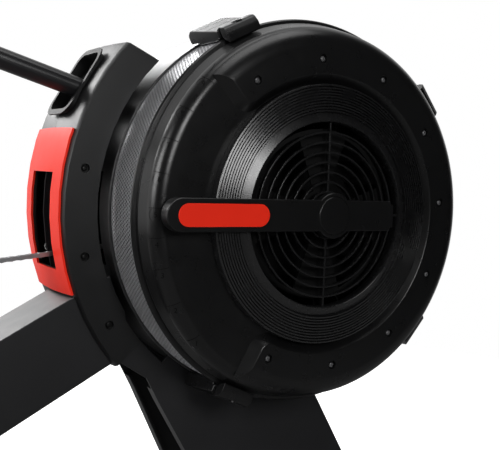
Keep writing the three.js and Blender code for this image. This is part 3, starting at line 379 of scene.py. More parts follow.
def drum_piece(name, bm, finish, body, replaces=(), sharp=32):
    return piece(name, moved(bm, drum), finish, body, replaces, sharp)


BARREL, WALL, BEAD, BEARING_SEAT = 266, 4, 3, 26.3
shell = spun(rounded([(BEARING_SEAT, -61.2, 0.5), (269, -61.2, 1.2), (269, -56.2, 1.5), (BARREL, -55.2, 0.5),
                      (BARREL, 58, 0.5), (BARREL - WALL, 58, 0.5), (BARREL - WALL, -57.2, 3), (34, -57.2, 3),
                      (34, -43.2, 1), (15, -43.2, 0.5), (15, -47.2, 0.5),
                      (BEARING_SEAT, -47.2, 0.5)], 3), 160)
drum_piece("fan_case_finished", carved(shell, "DIFFERENCE", block((-358, -20, -70), (-200, 20, 60))),
           case_metal, "frame", ("fan_case",))

# The far cover is pressed from plastic, with a dished ring and a boss over the axle's end.
gloss = coated("cover_plastic", "gloss_black", (0.0040, 0.0040, 0.0042), (0.0062, 0.0062, 0.0065), 0.29,
               0.0014, 0.000035)
far_cover = spun(rounded([
    (0, 86.3, 0), (34, 86.3, 2), (40, 82.3, 2), (150, 82.3, 5), (158, 78.3, 5), (205, 78.3, 5), (213, 82.3, 5),
    (244, 81.3, 12), (259, 73.3, 8), (BARREL, 58.3, 0.6), (BARREL - 3, 58.3, 0.6), (244, 74.3, 4),
    (34, 74.3, 1), (34, 44.3, 0.5), (BEARING_SEAT, 44.3, 0.5), (BEARING_SEAT, 58.3, 0.5),
    (0, 58.3, 0)], 4), 160)
drum_piece("far_cover_finished", far_cover, gloss, "frame", ("far_cover",))

# The near cover is one moulding in satin black. Its rim carries a thin bead next to the mesh, its
# shoulder is round, and a raised C-shaped band with chamfered ends holds nine screws.
RECESS, BAND, BAND_INNER, CHAMFER, CORNER = -169.3, -182, 190.7, 12.7, 14
SHOULDER, SHOULDER_ROUND, BAND_FROM, BAND_TO = 257, 18, -121.6, 130.5
AXIS = Vector((0, 0))


def around(radius, degrees_):
    """A point in the drum's plane: X and Z in millimetres."""
    return Vector((radius * cos(radians(degrees_)), radius * sin(radians(degrees_))))


def slab(outline, near, far):
    """A closed outline in the drum's plane, drawn out between two Y values."""
    bm = bmesh.new()
    face = bm.faces.new([bm.verts.new((u * MM, near * MM, v * MM)) for u, v in outline])
    wall = bmesh.ops.extrude_face_region(bm, geom=[face], use_keep_orig=True)
    bmesh.ops.translate(bm, verts=[v for v in wall["geom"] if isinstance(v, bmesh.types.BMVert)],
                        vec=(0, (far - near) * MM, 0))
    bmesh.ops.recalc_face_normals(bm, faces=bm.faces)
    return bm


def sweep_of(centre, radius, start, end, steps):
    return [centre + around(radius, start + (end - start) * i / steps) for i in range(steps + 1)]


def band_outline(grow):
    """The band's plan, its inner edge and ends moved out by the chamfer."""
    lean = degrees(asin(CORNER / (BAND_INNER + CORNER)))
    upper, lower = around(BAND_INNER + CORNER, BAND_TO - lean), around(BAND_INNER + CORNER, BAND_FROM + lean)
    corner = CORNER + grow
    return (sweep_of(upper, corner, BAND_TO + 90, BAND_TO + 180 - lean, 8) +
            sweep_of(AXIS, BAND_INNER - grow, BAND_TO - lean, BAND_FROM + lean, 160)[1:-1] +
            sweep_of(lower, corner, BAND_FROM + 180 + lean, BAND_FROM + 270, 8) +
            sweep_of(AXIS, 300, BAND_FROM - grow / 5.2, BAND_TO + grow / 5.2, 60))


band = bmesh.new()
loops = []
for grow, y in ((0, BAND), (CHAMFER, RECESS), (CHAMFER, RECESS + 1.4)):
    verts = [band.verts.new((u * MM, y * MM, v * MM)) for u, v in band_outline(grow)]
    loops.append([band.edges.new((verts[i - 1], verts[i])) for i in range(len(verts))])
for first, second in zip(loops, loops[1:]):
    bmesh.ops.bridge_loops(band, edges=first + second)
bmesh.ops.holes_fill(band, edges=[edge for edge in band.edges if edge.is_boundary])
bmesh.ops.recalc_face_normals(band, faces=band.faces)
top_rim = [edge for edge in band.edges if all(abs(v.co.y - BAND * MM) < 1e-6 for v in edge.verts)]
bmesh.ops.bevel(band, geom=top_rim, offset=1.1 * MM, offset_type="OFFSET", segments=3, profile=0.5,
                affect="EDGES", material=-1)
cone_start = RECESS + SHOULDER_ROUND
band_round = cone_start - BAND
band_middle = Vector((SHOULDER - band_round, cone_start))
envelope = spun([Vector((150, BAND))] + sweep_of(band_middle, band_round, -90, 0, 20) +
                [Vector(p) for p in ((SHOULDER + 1.3, cone_start + 2), (SHOULDER - 1, cone_start + 2),
                                     (SHOULDER - 12, RECESS + 1.4), (150, RECESS + 1.4))], 192)
band = carved(band, "INTERSECT", envelope)
shoulder_middle = Vector((SHOULDER - SHOULDER_ROUND, cone_start))
cover = spun([Vector((140, RECESS))] + sweep_of(shoulder_middle, SHOULDER_ROUND, -90, 0, 16) + rounded([
    (SHOULDER + 6.2, -138.2, 0.6), (BARREL - 5, -137.2, 0.6), (BARREL - 5, -132.4, 0.6),
    (BARREL + 0.4, -131.9, 0.8), (BARREL + BEAD, -129.6, 1.6), (BARREL + 1.6, -127.2, 1),
    (BARREL, -126.3, 0.4), (BARREL - 3, -126.3, 0.4), (BARREL - 7.4, -136, 0)]) +
    sweep_of(shoulder_middle, SHOULDER_ROUND - 3, 0, -90, 8) + [Vector((140, RECESS + 3))], 192)
SCREW_CIRCLE, FIRST_SCREW, SCREW_STEP = 210.4, 122.6, 30
SCREWS = [around(SCREW_CIRCLE, FIRST_SCREW - SCREW_STEP * i) for i in range(9)]
wells = bmesh.new()
for place in SCREWS:
    bmesh.ops.create_cone(wells, cap_ends=True, segments=40, radius1=5.6 * MM, radius2=6.6 * MM,
                          depth=5 * MM,
                          matrix=Matrix.Translation((place.x * MM, (BAND + 1.0) * MM, place.y * MM)) @
                          Matrix.Rotation(radians(90), 4, "X"))
cover = carved(carved(cover, "UNION", band), "DIFFERENCE", wells)
drum_piece("near_cover_finished", cover, gloss, "frame", ("near_cover",), 28)

# Nine plated pan-head screws sit at the bottom of the band's wells. Their flat light grey is partly
# the plating's own tone and partly a painted highlight that stands in for the glint on the heads.
screw_grey_glint = coated("dark_screw", "steel", (0.10, 0.10, 0.104), (0.13, 0.13, 0.134), 0.36, 0.001, 0.00002,
                     metallic=0.1)


def screw(place, seat, head, outward=(0, -1, 0)):
    """A pan head with a cross recess, its seat at a point in millimetres from the drum's axis."""
    top = head * 0.66
    bm = spun(rounded([(0, 0, 0), (head, 0, 0), (head, head * 0.32, head * 0.3),
                       (head * 0.55, head * 0.62, head), (0, top, 0)], 4), 24)
    turn = Vector((0, 1, 0)).rotation_difference(Vector(outward)).to_matrix()
    bmesh.ops.rotate(bm, verts=bm.verts, cent=(0, 0, 0), matrix=turn)
    slots = []
    for angle in (25, 115):
        spin = Matrix.Rotation(radians(angle), 4, Vector(outward)) @ turn.to_4x4()
        slots.append(bmesh.new())
        bmesh.ops.create_cube(slots[-1], size=1, matrix=spin @ Matrix.Translation((0, top * MM, 0)) @
                              Matrix.Diagonal((head * 1.1 * MM, head * 0.5 * MM, head * 0.24 * MM, 1)))
    return moved(carved(bm, "DIFFERENCE", *slots), Vector((place.x, seat, place.y)) * MM)


def gathered(parts):
    """One bmesh out of several separate closed ones."""
    whole = bmesh.new()
    for part in parts:
        mesh = bpy.data.meshes.new("part")
        part.to_mesh(mesh)
        part.free()
        whole.from_mesh(mesh)
        bpy.data.meshes.remove(mesh)
    return whole


drum_piece("cover_screws", gathered(screw(place, BAND + 2.8, 3.4) for place in SCREWS), screw_grey_glint,
           "frame")

# The damper's scale is moulded into the cover's shoulder along the lever's path: nine numbers, each
# under a small arc and over a tick, and a pointer at the band's end.
SCALE_ROUND, SCALE_LEAN, SCALE_RADIUS = SHOULDER - SHOULDER_ROUND, 41, 251
NUMBERS_AT = (136.9, 147.8, 157.9, 167.8, 177.8, 186.3, 195.3, 206.5, 218.9)
scale_parts, scale_arcs = [], []


def on_shoulder(bm, angle):
    """Wraps a flat (tangential, outward, height) drawing in millimetres on to the cover's shoulder."""
    for vert in bm.verts:
        along, out, rise = vert.co
        lean = radians(SCALE_LEAN) + out / SHOULDER_ROUND
        turn = radians(angle) - along / SCALE_RADIUS
        r = SCALE_ROUND + (SHOULDER_ROUND + rise) * sin(lean)
        y = RECESS + SHOULDER_ROUND - (SHOULDER_ROUND + rise) * cos(lean)
        vert.co = Vector((r * cos(turn), y, r * sin(turn))) * MM
    bmesh.ops.recalc_face_normals(bm, faces=bm.faces)
    return bm


def ridge(points, width):
    """A thin raised line through points of the flat drawing."""
    bm = bmesh.new()
    section = ((-1, -0.3), (-0.6, 0.4), (0.6, 0.4), (1, -0.3))
    rows = []
    for i, point in enumerate(points):
        ahead = (points[min(i + 1, len(points) - 1)] - points[max(i - 1, 0)]).normalized()
        side = Vector((-ahead.y, ahead.x)) * width / 2
        rows.append([bm.verts.new((*(point + side * k), height)) for k, height in section])
    edges = [[bm.edges.new((row[i - 1], row[i])) for i in range(4)] for row in rows]
    for first, second in zip(edges, edges[1:]):
        bmesh.ops.bridge_loops(bm, edges=first + second)
    bmesh.ops.holes_fill(bm, edges=[edge for edge in bm.edges if edge.is_boundary])
    return bm


for number, angle in zip(range(9, 0, -1), NUMBERS_AT):
    letter = bpy.data.curves.new("digit", "FONT")
    letter.body, letter.size, letter.extrude, letter.resolution_u = str(number), 10.0, 0.4, 3
    letter.align_x, letter.align_y = "CENTER", "CENTER"
    digit = bpy.data.objects.new("digit", letter)
    scene.collection.objects.link(digit)
    flat = bmesh.new()
    drawn = bpy.data.meshes.new_from_object(digit)
    flat.from_mesh(drawn)
    bpy.data.meshes.remove(drawn)
    bpy.data.curves.remove(letter)
    bmesh.ops.remove_doubles(flat, verts=flat.verts, dist=0.01)
    bmesh.ops.rotate(flat, verts=flat.verts, cent=(0, 0, 0),
                     matrix=Matrix.Rotation(radians(90 - angle), 3, "Z"))
    scale_parts.append(on_shoulder(flat, angle))
    scale_arcs.append(on_shoulder(ridge(sweep_of(Vector((0, 1)), 8.5, 15, 175, 14), 0.9), angle))
    scale_parts.append(on_shoulder(ridge([Vector((8.5, v)) for v in (-10, -5, 0, 5, 10)], 0.9), angle))
scale_arcs.append(on_shoulder(ridge([Vector(p) for p in ((-6, 5), (6, 9), (3, -6), (-6, 5))], 0.7), 130.7))
scale_black = coated("scale_plastic", "gloss_black", (0.0015, 0.0015, 0.0016), (0.0025, 0.0025, 0.0026),
                     0.7, 0.001, 0.00001).set("Specular IOR Level", 0.12)
drum_piece("cover_scale", gathered(scale_parts), scale_black, "frame")
drum_piece("cover_scale_arcs", gathered(scale_arcs), gloss, "frame")

# The vent is its own moulding: a ring with a smooth inner border and ten fine ribs outside it,
# then open rings on four thin spokes, all round a small hub.
VENT, VENT_OUTER, VENT_INNER = -183, 177.6, 126
ribs = [(VENT_OUTER, RECESS - 0.3, 0), (VENT_INNER, RECESS - 0.3, 0), (VENT_INNER, VENT + 2.6, 0.5),
        (VENT_INNER + 1.0, VENT - 1.8, 0.8), (138.6, VENT + 2.6, 0.5)]
RIBS_FROM, RIB_PITCH, RING_PITCH = 138.9, 3.8, 13.5
for i in range(10):
    start = RIBS_FROM + RIB_PITCH * i
    ribs += [(start, VENT + 4.0, 0.2), (start + 1.2, VENT + 4.0, 0.2), (start + 1.35, VENT - 0.75, 0.25),
             (start + 3.7, VENT + 0.15, 0.25)]
ribs += [(177.2, VENT + 1.0, 0.3), (VENT_OUTER, VENT + 3.6, 0.3)]
vent_parts = [spun(rounded(ribs, 2), 176)]
for i in range(7):
    r = VENT_INNER - RING_PITCH * (i + 1)
    vent_parts.append(spun(rounded([(r - 1.3, VENT + 2, 0.4), (r + 1.3, VENT + 2, 0.4),
                                    (r + 0.6, VENT + 10, 0.3), (r - 0.6, VENT + 10, 0.3)], 2), 128 - 8 * i))
for angle in (87.3, 177.3, 267.3, 357.3):
    across = around(1.5, angle + 90)
    inner, outer = around(24, angle), around(VENT_INNER + 2, angle)
    vent_parts.append(eased(slab([inner - across, outer - across, outer + across, inner + across],
                                 VENT + 2.7, VENT + 9.3), 0.0004))
vent_parts.append(spun(rounded([(9.5, VENT - 1, 0.3), (26, VENT - 1, 1), (26, -165, 0.5),
                                (9.5, -165, 0.3)], 3), 64))
vent_grey = coated("vent_plastic", "gloss_black", (0.0060, 0.0060, 0.0063), (0.0085, 0.0085, 0.0090), 0.27,
                   0.0012, 0.00003).set("Specular IOR Level", 0.85)
drum_piece("vent_grille_finished", gathered(vent_parts), vent_grey, "frame", ("vent_grille",), 24)

# The drum breathes in through the vent and out through this band of perforated sheet steel, with
# hexagon holes about five millimetres apart and a folded hem along both edges.
MESH_OUTER, MESH_MIDDLE, MESH_SHEET, HOLES_ROUND, BRIDGE = 265.8, -93.9, 0.9, 320, 1.9
HOLE_PITCH = 2 * pi * MESH_OUTER / HOLES_ROUND
row_step = HOLE_PITCH * sqrt(3) / 2
holes = bmesh.new()
for column, row in ((0, 0), (0.5, 1)):
    bmesh.ops.create_circle(holes, cap_ends=True, segments=6, radius=HOLE_PITCH / sqrt(3) * MM,
                            matrix=Matrix.Translation((column * HOLE_PITCH * MM, row * row_step * MM, 0)))


def repeated(bm, step, count):
    """Copies what is there count times in all, each one step further on."""
    first = bm.verts[:] + bm.edges[:] + bm.faces[:]
    for i in range(1, count):
        more = bmesh.ops.duplicate(bm, geom=first)["geom"]
        bmesh.ops.translate(bm, verts=[v for v in more if isinstance(v, bmesh.types.BMVert)],
                            vec=Vector(step) * i * MM)
    return bm


repeated(holes, (0, 2 * row_step, 0), 7)
repeated(holes, (HOLE_PITCH, 0, 0), 20)
repeated(holes, (HOLE_PITCH * 20, 0, 0), HOLES_ROUND // 20)
bmesh.ops.remove_doubles(holes, verts=holes.verts, dist=0.0002)
bridges = bmesh.ops.inset_individual(holes, faces=holes.faces[:], thickness=BRIDGE / 2 * MM,
                                     use_even_offset=True)["faces"]
bmesh.ops.delete(holes, geom=list(set(holes.faces[:]) - set(bridges)), context="FACES")
depth = max(v.co.y for v in holes.verts) + min(v.co.y for v in holes.verts)
for vert in holes.verts:
    turn = vert.co.x / (MESH_OUTER * MM)
    vert.co = Vector((MESH_OUTER * MM * cos(turn), vert.co.y - depth / 2 + MESH_MIDDLE * MM,
                      MESH_OUTER * MM * sin(turn)))
bmesh.ops.remove_doubles(holes, verts=holes.verts, dist=0.0002)
back = bmesh.ops.extrude_face_region(holes, geom=holes.faces[:], use_keep_orig=True)["geom"]
for vert in (v for v in back if isinstance(v, bmesh.types.BMVert)):
    vert.co.xz *= 1 - MESH_SHEET / MESH_OUTER
bmesh.ops.recalc_face_normals(holes, faces=holes.faces)
hems = [spun(rounded([(MESH_OUTER - 1.6, near, 0.4), (MESH_OUTER + 0.1, near, 0.4),
                      (MESH_OUTER + 0.1, far, 0.4), (MESH_OUTER - 1.6, far, 0.4)], 2), 160)
        for near, far in ((-126, -123.4), (-62.6, -61.5))]
mesh_metal = coated("perforated_steel", "mesh_steel", (0.58, 0.58, 0.60), (0.74, 0.74, 0.76), 0.33,
                    0.002, 0.00002, metallic=0.8)
drum_piece("mesh_band_finished", gathered([holes] + hems), mesh_metal, "frame", ("mesh_band",))

# Four latches clip the cover to the case over the mesh. Each is a black strap with two grooves; its
# knuckle steps over the cover's bead and comes down on the cone, with a round pocket for a pin.
FOOT, TOP, LATCHES_AT = 269.3, 289.3, (114.5, 36.5, -43.5, -117)


def latch_side(outline, half):
    """A latch's side view, (Y, distance from the axle) in millimetres, drawn out to both sides."""
    bm = bmesh.new()
    face = bm.faces.new([bm.verts.new((-half * MM, y * MM, z * MM)) for y, z in outline])
    wall = bmesh.ops.extrude_face_region(bm, geom=[face], use_keep_orig=True)
    bmesh.ops.translate(bm, verts=[v for v in wall["geom"] if isinstance(v, bmesh.types.BMVert)],
                        vec=(2 * half * MM, 0, 0))
    bmesh.ops.recalc_face_normals(bm, faces=bm.faces)
    return eased(bm, 0.0026, 50, 4)


for number, angle in enumerate(LATCHES_AT, 1):
    strap = latch_side(rounded([(-126, FOOT, 0), (-121.6, FOOT, 0), (-121.6, 266.6, 0), (-66, 266.6, 0),
                                (-66, FOOT, 0), (-47, FOOT, 2), (-47, TOP - 7, 7), (-56, TOP - 1, 7),
                                (-126, TOP - 10, 0)], 5), 27.5)
    knuckle = latch_side(rounded([(-146, 260.2, 2), (-133.2, 266.6, 0.5), (-132.7, FOOT, 0.5), (-121, FOOT, 1),
                                  (-121, TOP - 9.6, 2), (-129, TOP - 6, 5), (-141, TOP - 7.5, 7),
                                  (-146.4, TOP - 17, 6)], 6), 25.5)
    pocket = bmesh.new()
    bmesh.ops.create_cone(pocket, cap_ends=True, segments=40, radius1=7.2 * MM, radius2=7.8 * MM,
                          depth=20 * MM, matrix=Matrix.Translation((0, -135.5 * MM, (TOP + 1) * MM)))
    lines = gathered(block((-30, y - 0.45, TOP - rise), (30, y + 0.45, TOP))
                     for y, rise in ((-76, 4.4), (-98, 7.3)))
    creases = gathered(block((u, -130.4, FOOT - 6), (u + 6, -127.6, TOP + 2)) for u in (-29, 23))
    made = carved(carved(strap, "UNION", knuckle), "DIFFERENCE", pocket, lines, creases)
    bmesh.ops.rotate(made, verts=made.verts, cent=(0, 0, 0),
                     matrix=Matrix.Rotation(-radians(angle - 90), 3, "Y"))
    drum_piece(f"cover_latch_{number}_finished", made, gloss, "frame", (f"cover_latch_{number}",))

# A strip along the inside of the leg's far plate closes the gap under the drum's far rim. It is a
# dark sheet, painted like the leg, that stands in for the shade in that gap.
gap_shade_strip = slab(sweep_of(AXIS, 269, 226, 252, 14) + sweep_of(AXIS, 261.5, 252, 226, 14), 34, 46.3)
drum_piece("gap_shade_strip", gap_shade_strip, frame_paint, "frame")

# The sprocket housing wraps the rower's side of the drum: two moulded charcoal halves that meet at
# a seam, with a crowned rim, three screws a side and a slot for the monitor's arm.
charcoal = coated("housing_plastic", "charcoal", (0.0045, 0.0046, 0.0049), (0.0066, 0.0067, 0.0071), 0.38,
                  0.0013, 0.00006)
HOUSING_SCREWS = [around(305, angle) for angle in (167.7, 189.6, 208.5)]
HOUSING_FROM, HOUSING_TO, WELL = 133.2, 218, 6.2
for side, low, high in (("near", -58, -50.4), ("far", 90.4, 98)):
    blank = moved(copied(f"housing_{side}_shell"), -drum)
    wells = gathered(moved(spun([(0, low), (WELL, low), (WELL, high), (0, high)], 32),
                           Vector((place.x, 0, place.y)) * MM) for place in HOUSING_SCREWS)
    if side == "far":
        lip = carved(spun([(268.5, 52), (271, 52), (271, 91.5), (283, 91.5), (283, 94.8), (268.5, 94.8)], 160),
                     "INTERSECT", slab([AXIS] + sweep_of(AXIS, 400, HOUSING_FROM, HOUSING_TO, 12), 40, 100))
        floor_wall = slab([around(270, HOUSING_TO - 0.6), around(324, HOUSING_TO - 0.6),
                           around(324, HOUSING_TO + 0.2), around(270, HOUSING_TO + 0.2)], 50.8, 92)
        blank = carved(blank, "UNION", lip, floor_wall)
    shell = eased(carved(blank, "DIFFERENCE", wells), 0.0009, 30)
    drum_piece(f"housing_{side}_shell_finished", shell, charcoal, "frame", (f"housing_{side}_shell",))
collar_rubber = coated("collar_rubber", "charcoal", (0.0040, 0.0040, 0.0043), (0.0058, 0.0058, 0.0062), 0.55,
                       0.0013, 0.00005).set("Specular IOR Level", 0.22)
dressed("arm_slot_collar", collar_rubber, 0.0012, 30)
screw_black = coated("black_screw", "steel", (0.004, 0.004, 0.004), (0.007, 0.007, 0.007), 0.4, 0.001,
                     0.00002).set("Specular IOR Level", 0.25)
washers = [moved(spun([(0, 0), (6.1, 0), (6.1, 0.4), (0, 0.4)], 32), Vector((place.x, y, place.y)) * MM)
           for place in HOUSING_SCREWS for y in (-50.4, 90.2)]
drum_piece("housing_screws", gathered(washers + [
    screw(place, y, 4.0, (0, turn, 0))
    for place in HOUSING_SCREWS for y, turn in ((-50.4, -1), (90.6, 1))]), screw_black, "frame")

# A bright red panel is clipped over the housing's rim, round the mouth that the chain comes out of.
red = coated("red_plastic", "red_plastic", (0.83, 0.022, 0.007), (0.88, 0.028, 0.010), 0.42, 0.0012,
             0.00002).set("Specular IOR Level", 0.16)
dressed("housing_panel", red, 0.0010, 30)

# The damper lever turns on the cover's hub and carries the shutter behind the vent. Its long end
# has a rounded tip with a red grip insert, and a round cap covers the screw at its middle.
LEVER_REST = 177.3


def at_lever(bm):
    bmesh.ops.rotate(bm, verts=bm.verts, cent=(0, 0, 0),
                     matrix=Matrix.Rotation(radians(180 - LEVER_REST), 3, "Y"))
    return bm


def stadium(inner, outer, half):
    """A bar with two round ends that lies along -X."""
    return (sweep_of(Vector((half - outer, 0)), half, 90, 270, 20) +
            sweep_of(Vector((-inner - half, 0)), half, -90, 90, 20))


LEVER_REACH, LEVER_HALF, LEVER_FRONT, LEVER_BACK = 230, 21, -197, -186.5
bar = slab(sweep_of(Vector((-LEVER_REACH, 0)), LEVER_HALF, 90, 270, 24) +
           [Vector(p) for p in ((100, -LEVER_HALF), (100, -16), (105, -16), (105, 16), (100, 16),
                                (100, LEVER_HALF))], LEVER_FRONT, LEVER_BACK)
bar = eased(bar, 0.0016, 40, 3)
tip = spun(rounded([(0, -188, 0), (LEVER_HALF, -188, 0), (LEVER_HALF, -178, 3), (0, -178, 0)], 4), 64)
hub = spun(rounded([(0, LEVER_FRONT, 0), (31, LEVER_FRONT, 1.6), (31, LEVER_BACK, 1),
                    (0, LEVER_BACK, 0)], 3), 96)
INSERT_FROM, INSERT_TO, INSERT_HALF, CAP, GAP = 105, 236, 14.5, 25.5, 0.4
seat = slab(stadium(INSERT_FROM - GAP, INSERT_TO + GAP, INSERT_HALF + GAP), -199, -195)
well = spun([(0, -199), (CAP + GAP, -199), (CAP + GAP, -194), (0, -194)], 64)
lever = carved(carved(bar, "UNION", moved(tip, (-LEVER_REACH * MM, 0, 0)), hub), "DIFFERENCE", seat, well)
drum_piece("damper_lever_finished", at_lever(lever), gloss, "damper", ("damper_lever",), 28)
insert = eased(slab(stadium(INSERT_FROM, INSERT_TO, INSERT_HALF), -198.0, -195.3), 0.0007, 40, 3)
drum_piece("lever_insert_finished", at_lever(insert), red, "damper", ("lever_insert",))
cap = spun(rounded([(0, -198.4, 0), (CAP, -198, 1.3), (CAP, -194.3, 0.3), (0, -194.3, 0)], 4), 96)
drum_piece("lever_hub_cap_finished", cap, gloss, "damper", ("lever_hub_cap",))
shutter_black = coated("shutter_plastic", "matte_black", (0.0022, 0.0022, 0.0023), (0.0034, 0.0034, 0.0035),
                       0.6, 0.0016, 0.00003).set("Specular IOR Level", 0.2)
dressed("damper_shutter", shutter_black, 0.0005)

# Behind the shutter the fan wheel turns on its axle: a backplate, a rim ring and twenty curved
# vanes. Two ball bearings in the case and the far cover carry the axle.
dressed("fan_wheel", shutter_black, 0.0005, 40)
axle_steel = coated("axle_steel", "steel", (0.40, 0.40, 0.41), (0.55, 0.55, 0.56), 0.28, 0.0015, 0.00001,
                    metallic=1.0)
for node in ("fan_axle", "near_bearing", "far_bearing"):
    dressed(node, axle_steel, 0.0004)
dressed("sprocket", axle_steel, 0.0005)

# A round steel arm comes up out of the housing's slot on a cross pin, and the monitor sits on its
# end on a second pin. The monitor is a plastic case with a display and four keys.
arm_paint = coated("arm_paint", "matte_black", (0.007, 0.007, 0.008), (0.011, 0.011, 0.012), 0.33,
                   0.0016, 0.00003)
dressed("monitor_arm", arm_paint, 0.0008)
dressed("arm_pivot_pin", axle_steel, 0.0005)
dressed("monitor_hinge_pin", axle_steel, 0.0004)
matte = coated("matte_plastic", "matte_black", (0.014, 0.014, 0.015), (0.021, 0.021, 0.022), 0.52,
               0.0016, 0.00005)
dressed("monitor_housing", matte, 0.004, 30)
screen = coated("display_glass", "screen_glass", (0.20, 0.22, 0.19), (0.23, 0.25, 0.215), 0.12,
                0.004, 0.000005)
dressed("monitor_screen", screen, 0.0006)
keys = coated("key_plastic", "key_plastic", (0.20, 0.20, 0.21), (0.26, 0.26, 0.27), 0.5,
              0.001, 0.00003)
for number in range(1, 5):
    dressed(f"monitor_button_{number}", keys, 0.0012)

# The rower's feet rest on two ribbed plates on a cross tube; a heel cup slides on each plate and
# a webbing strap goes over the foot.
for hand in ("left", "right"):
    dressed(f"foot_plate_{hand}", matte, 0.0012)
    dressed(f"heel_cup_{hand}", matte, 0.0015)
dressed("footrest_frame", frame_paint, 0.0010)
PLATE_SLOPE, PLATE_BACK, PLATE_APART, PLATE_HIGH = 40, 0.8, 0.114, 0.325
TREAD_WIDE, TREAD_HALF = 3.2, 43
for hand, side in (("left", 1), ("right", -1)):
    treads = gathered(eased(block((u, -TREAD_HALF, -1), (u + TREAD_WIDE, TREAD_HALF, 1.3)), 0.0006, 60, 2)
                      for u in range(164, 284, 9))
    bmesh.ops.rotate(treads, verts=treads.verts, cent=(0, 0, 0),
                     matrix=Matrix.Rotation(radians(-PLATE_SLOPE), 3, "Y"))
    place = Vector((drum.x - PLATE_BACK, side * PLATE_APART, PLATE_HIGH))
    piece(f"foot_treads_{hand}", moved(treads, place), matte, "frame")

# Each strap is woven polyester webbing with a fine twill that runs along it.
webbing = Finish("strap_webbing", "webbing")
warp = webbing.node("ShaderNodeTexWave", {"wave_type": "BANDS", "bands_direction": "Y"},
                    {"Vector": webbing.place, "Scale": 90, "Distortion": 0.4, "Detail": 1.0}, output="Fac")
weft = webbing.node("ShaderNodeTexWave", {"wave_type": "BANDS", "bands_direction": "Z"},
                    {"Vector": webbing.place, "Scale": 130, "Distortion": 0.4, "Detail": 1.0}, output="Fac")
weave = warp * weft
webbing.set("Base Color", webbing.tint(weave, (0.012, 0.012, 0.013), (0.034, 0.034, 0.036)))
webbing.set("Roughness", webbing.noise(0.01) * 0.1 + 0.68).set("Normal", webbing.relief(weave, 0.0004))
for hand in ("left", "right"):
    dressed(f"foot_strap_{hand}", webbing, 0.0005)

# The seat rolls on the rail: a steel carriage with two pairs of nylon rollers and a moulded pad.
dressed("seat_carriage", frame_paint, 0.0010)
for end in ("front", "rear"):
    dressed(f"{end}_seat_rollers", matte, 0.0006)

# The pad is a block of foam inside a soft pebbled skin: crowned, drawn in at its edges, flat where it
# lies on the carriage, with a notch behind and two shallow hollows to sit in.
foam = coated("seat_skin", "seat_foam", (0.014, 0.014, 0.015), (0.022, 0.022, 0.023), 0.5, 0.0022, 0.0003)
low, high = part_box("seat_pad")
middle = (low + high) / 2
base = Vector((middle.x, middle.y, low.z))
blank = moved(copied("seat_pad"), -base)
bmesh.ops.scale(blank, verts=blank.verts, vec=(0.945, 0.955, 0.80))
blank = moved(eased(blank, 0.007, 40, 3), base)
pad = piece("seat_pad_finished", blank, foam, None, (), 180)
pad.modifiers.clear()
even = pad.modifiers.new("even", "REMESH")
even.mode, even.voxel_size, even.use_smooth_shade = "VOXEL", 0.005, True
meshed = bpy.data.meshes.new_from_object(pad.evaluated_get(bpy.context.evaluated_depsgraph_get()))
pad.modifiers.clear()
pad.data = meshed
flat = [vert.index for vert in meshed.vertices if vert.co.z < low.z + 0.0035]
pad.vertex_groups.new(name="base").add(flat, 1.0, "REPLACE")
skin = pad.modifiers.new("skin", "CLOTH")
skin.settings.use_pressure, skin.settings.uniform_pressure_force = True, 4
skin.settings.vertex_group_mass = "base"
skin.settings.effector_weights.gravity = 0
for step in range(1, 21):
    scene.frame_set(step)
filled = bpy.data.meshes.new_from_object(pad.evaluated_get(bpy.context.evaluated_depsgraph_get()))
pad.modifiers.clear()
for vert, swollen in zip(meshed.vertices, filled.vertices):
    shift = swollen.co - vert.co
    vert.co += shift * min(1, 0.010 / max(shift.length, 1e-6))
bpy.data.meshes.remove(filled)
scene.frame_set(1)
HOLLOW_APART, HOLLOW_WIDE, HOLLOW_LONG, HOLLOW_DEEP = 0.066, 0.052, 0.062, 0.0085
for vert in meshed.vertices:
    side = (abs(vert.co.y) - HOLLOW_APART) / HOLLOW_WIDE
    along = (vert.co.x - middle.x + 0.012) / HOLLOW_LONG
    rise = min(max((vert.co.z - low.z) / (high.z - low.z), 0), 1)
    vert.co.z -= HOLLOW_DEEP * rise * rise * exp(-side * side - along * along)
    vert.co.z = max(vert.co.z, low.z)
smooth = pad.modifiers.new("smooth", "SUBSURF")
smooth.levels = smooth.render_levels = 1
meshed.materials.clear()
meshed.materials.append(foam.owner)
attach(pad, "seat")
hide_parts("seat_pad")

# The pull handle is a bent steel bar with two rubber grips; at rest it lies in a forked rest.
dressed("handle_bar", axle_steel, 0.0006)
GRIP_BEND, GRIP_BACK, GRIP_APART, GRIP_LOW = 10, -520, 80, -62
for hand, side in (("left", 1), ("right", -1)):
    sleeve = [(10.8, 12, 0), (13.6, 12, 1.4), (15.4, 16, 1)]
    for i in range(19):
        t = 22 + 6.3 * i
        sleeve += [(15.2, t, 0.4), (16, t + 1.2, 0.5), (16, t + 3.6, 0.5), (15.2, t + 4.8, 0.4)]
    sleeve += [(15.6, 144, 1), (15.6, 150, 3), (0, 150, 0), (0, 146.3, 0), (10.8, 146.3, 0)]
    grip = spun(rounded(sleeve, 2), 40)
    bmesh.ops.rotate(grip, verts=grip.verts, cent=(0, 0, 0),
                     matrix=Matrix.Rotation(radians(GRIP_BEND), 3, "Z"))
    if side < 0:
        bmesh.ops.scale(grip, verts=grip.verts, vec=(1, -1, 1))
        bmesh.ops.reverse_faces(grip, faces=grip.faces)
    place = Vector((GRIP_BACK, side * GRIP_APART, GRIP_LOW)) * MM
    drum_piece(f"handle_grip_{hand}_finished", moved(grip, place), rubber, "handle", (f"handle_grip_{hand}",))
dressed("handle_rest", frame_paint, 0.0012)

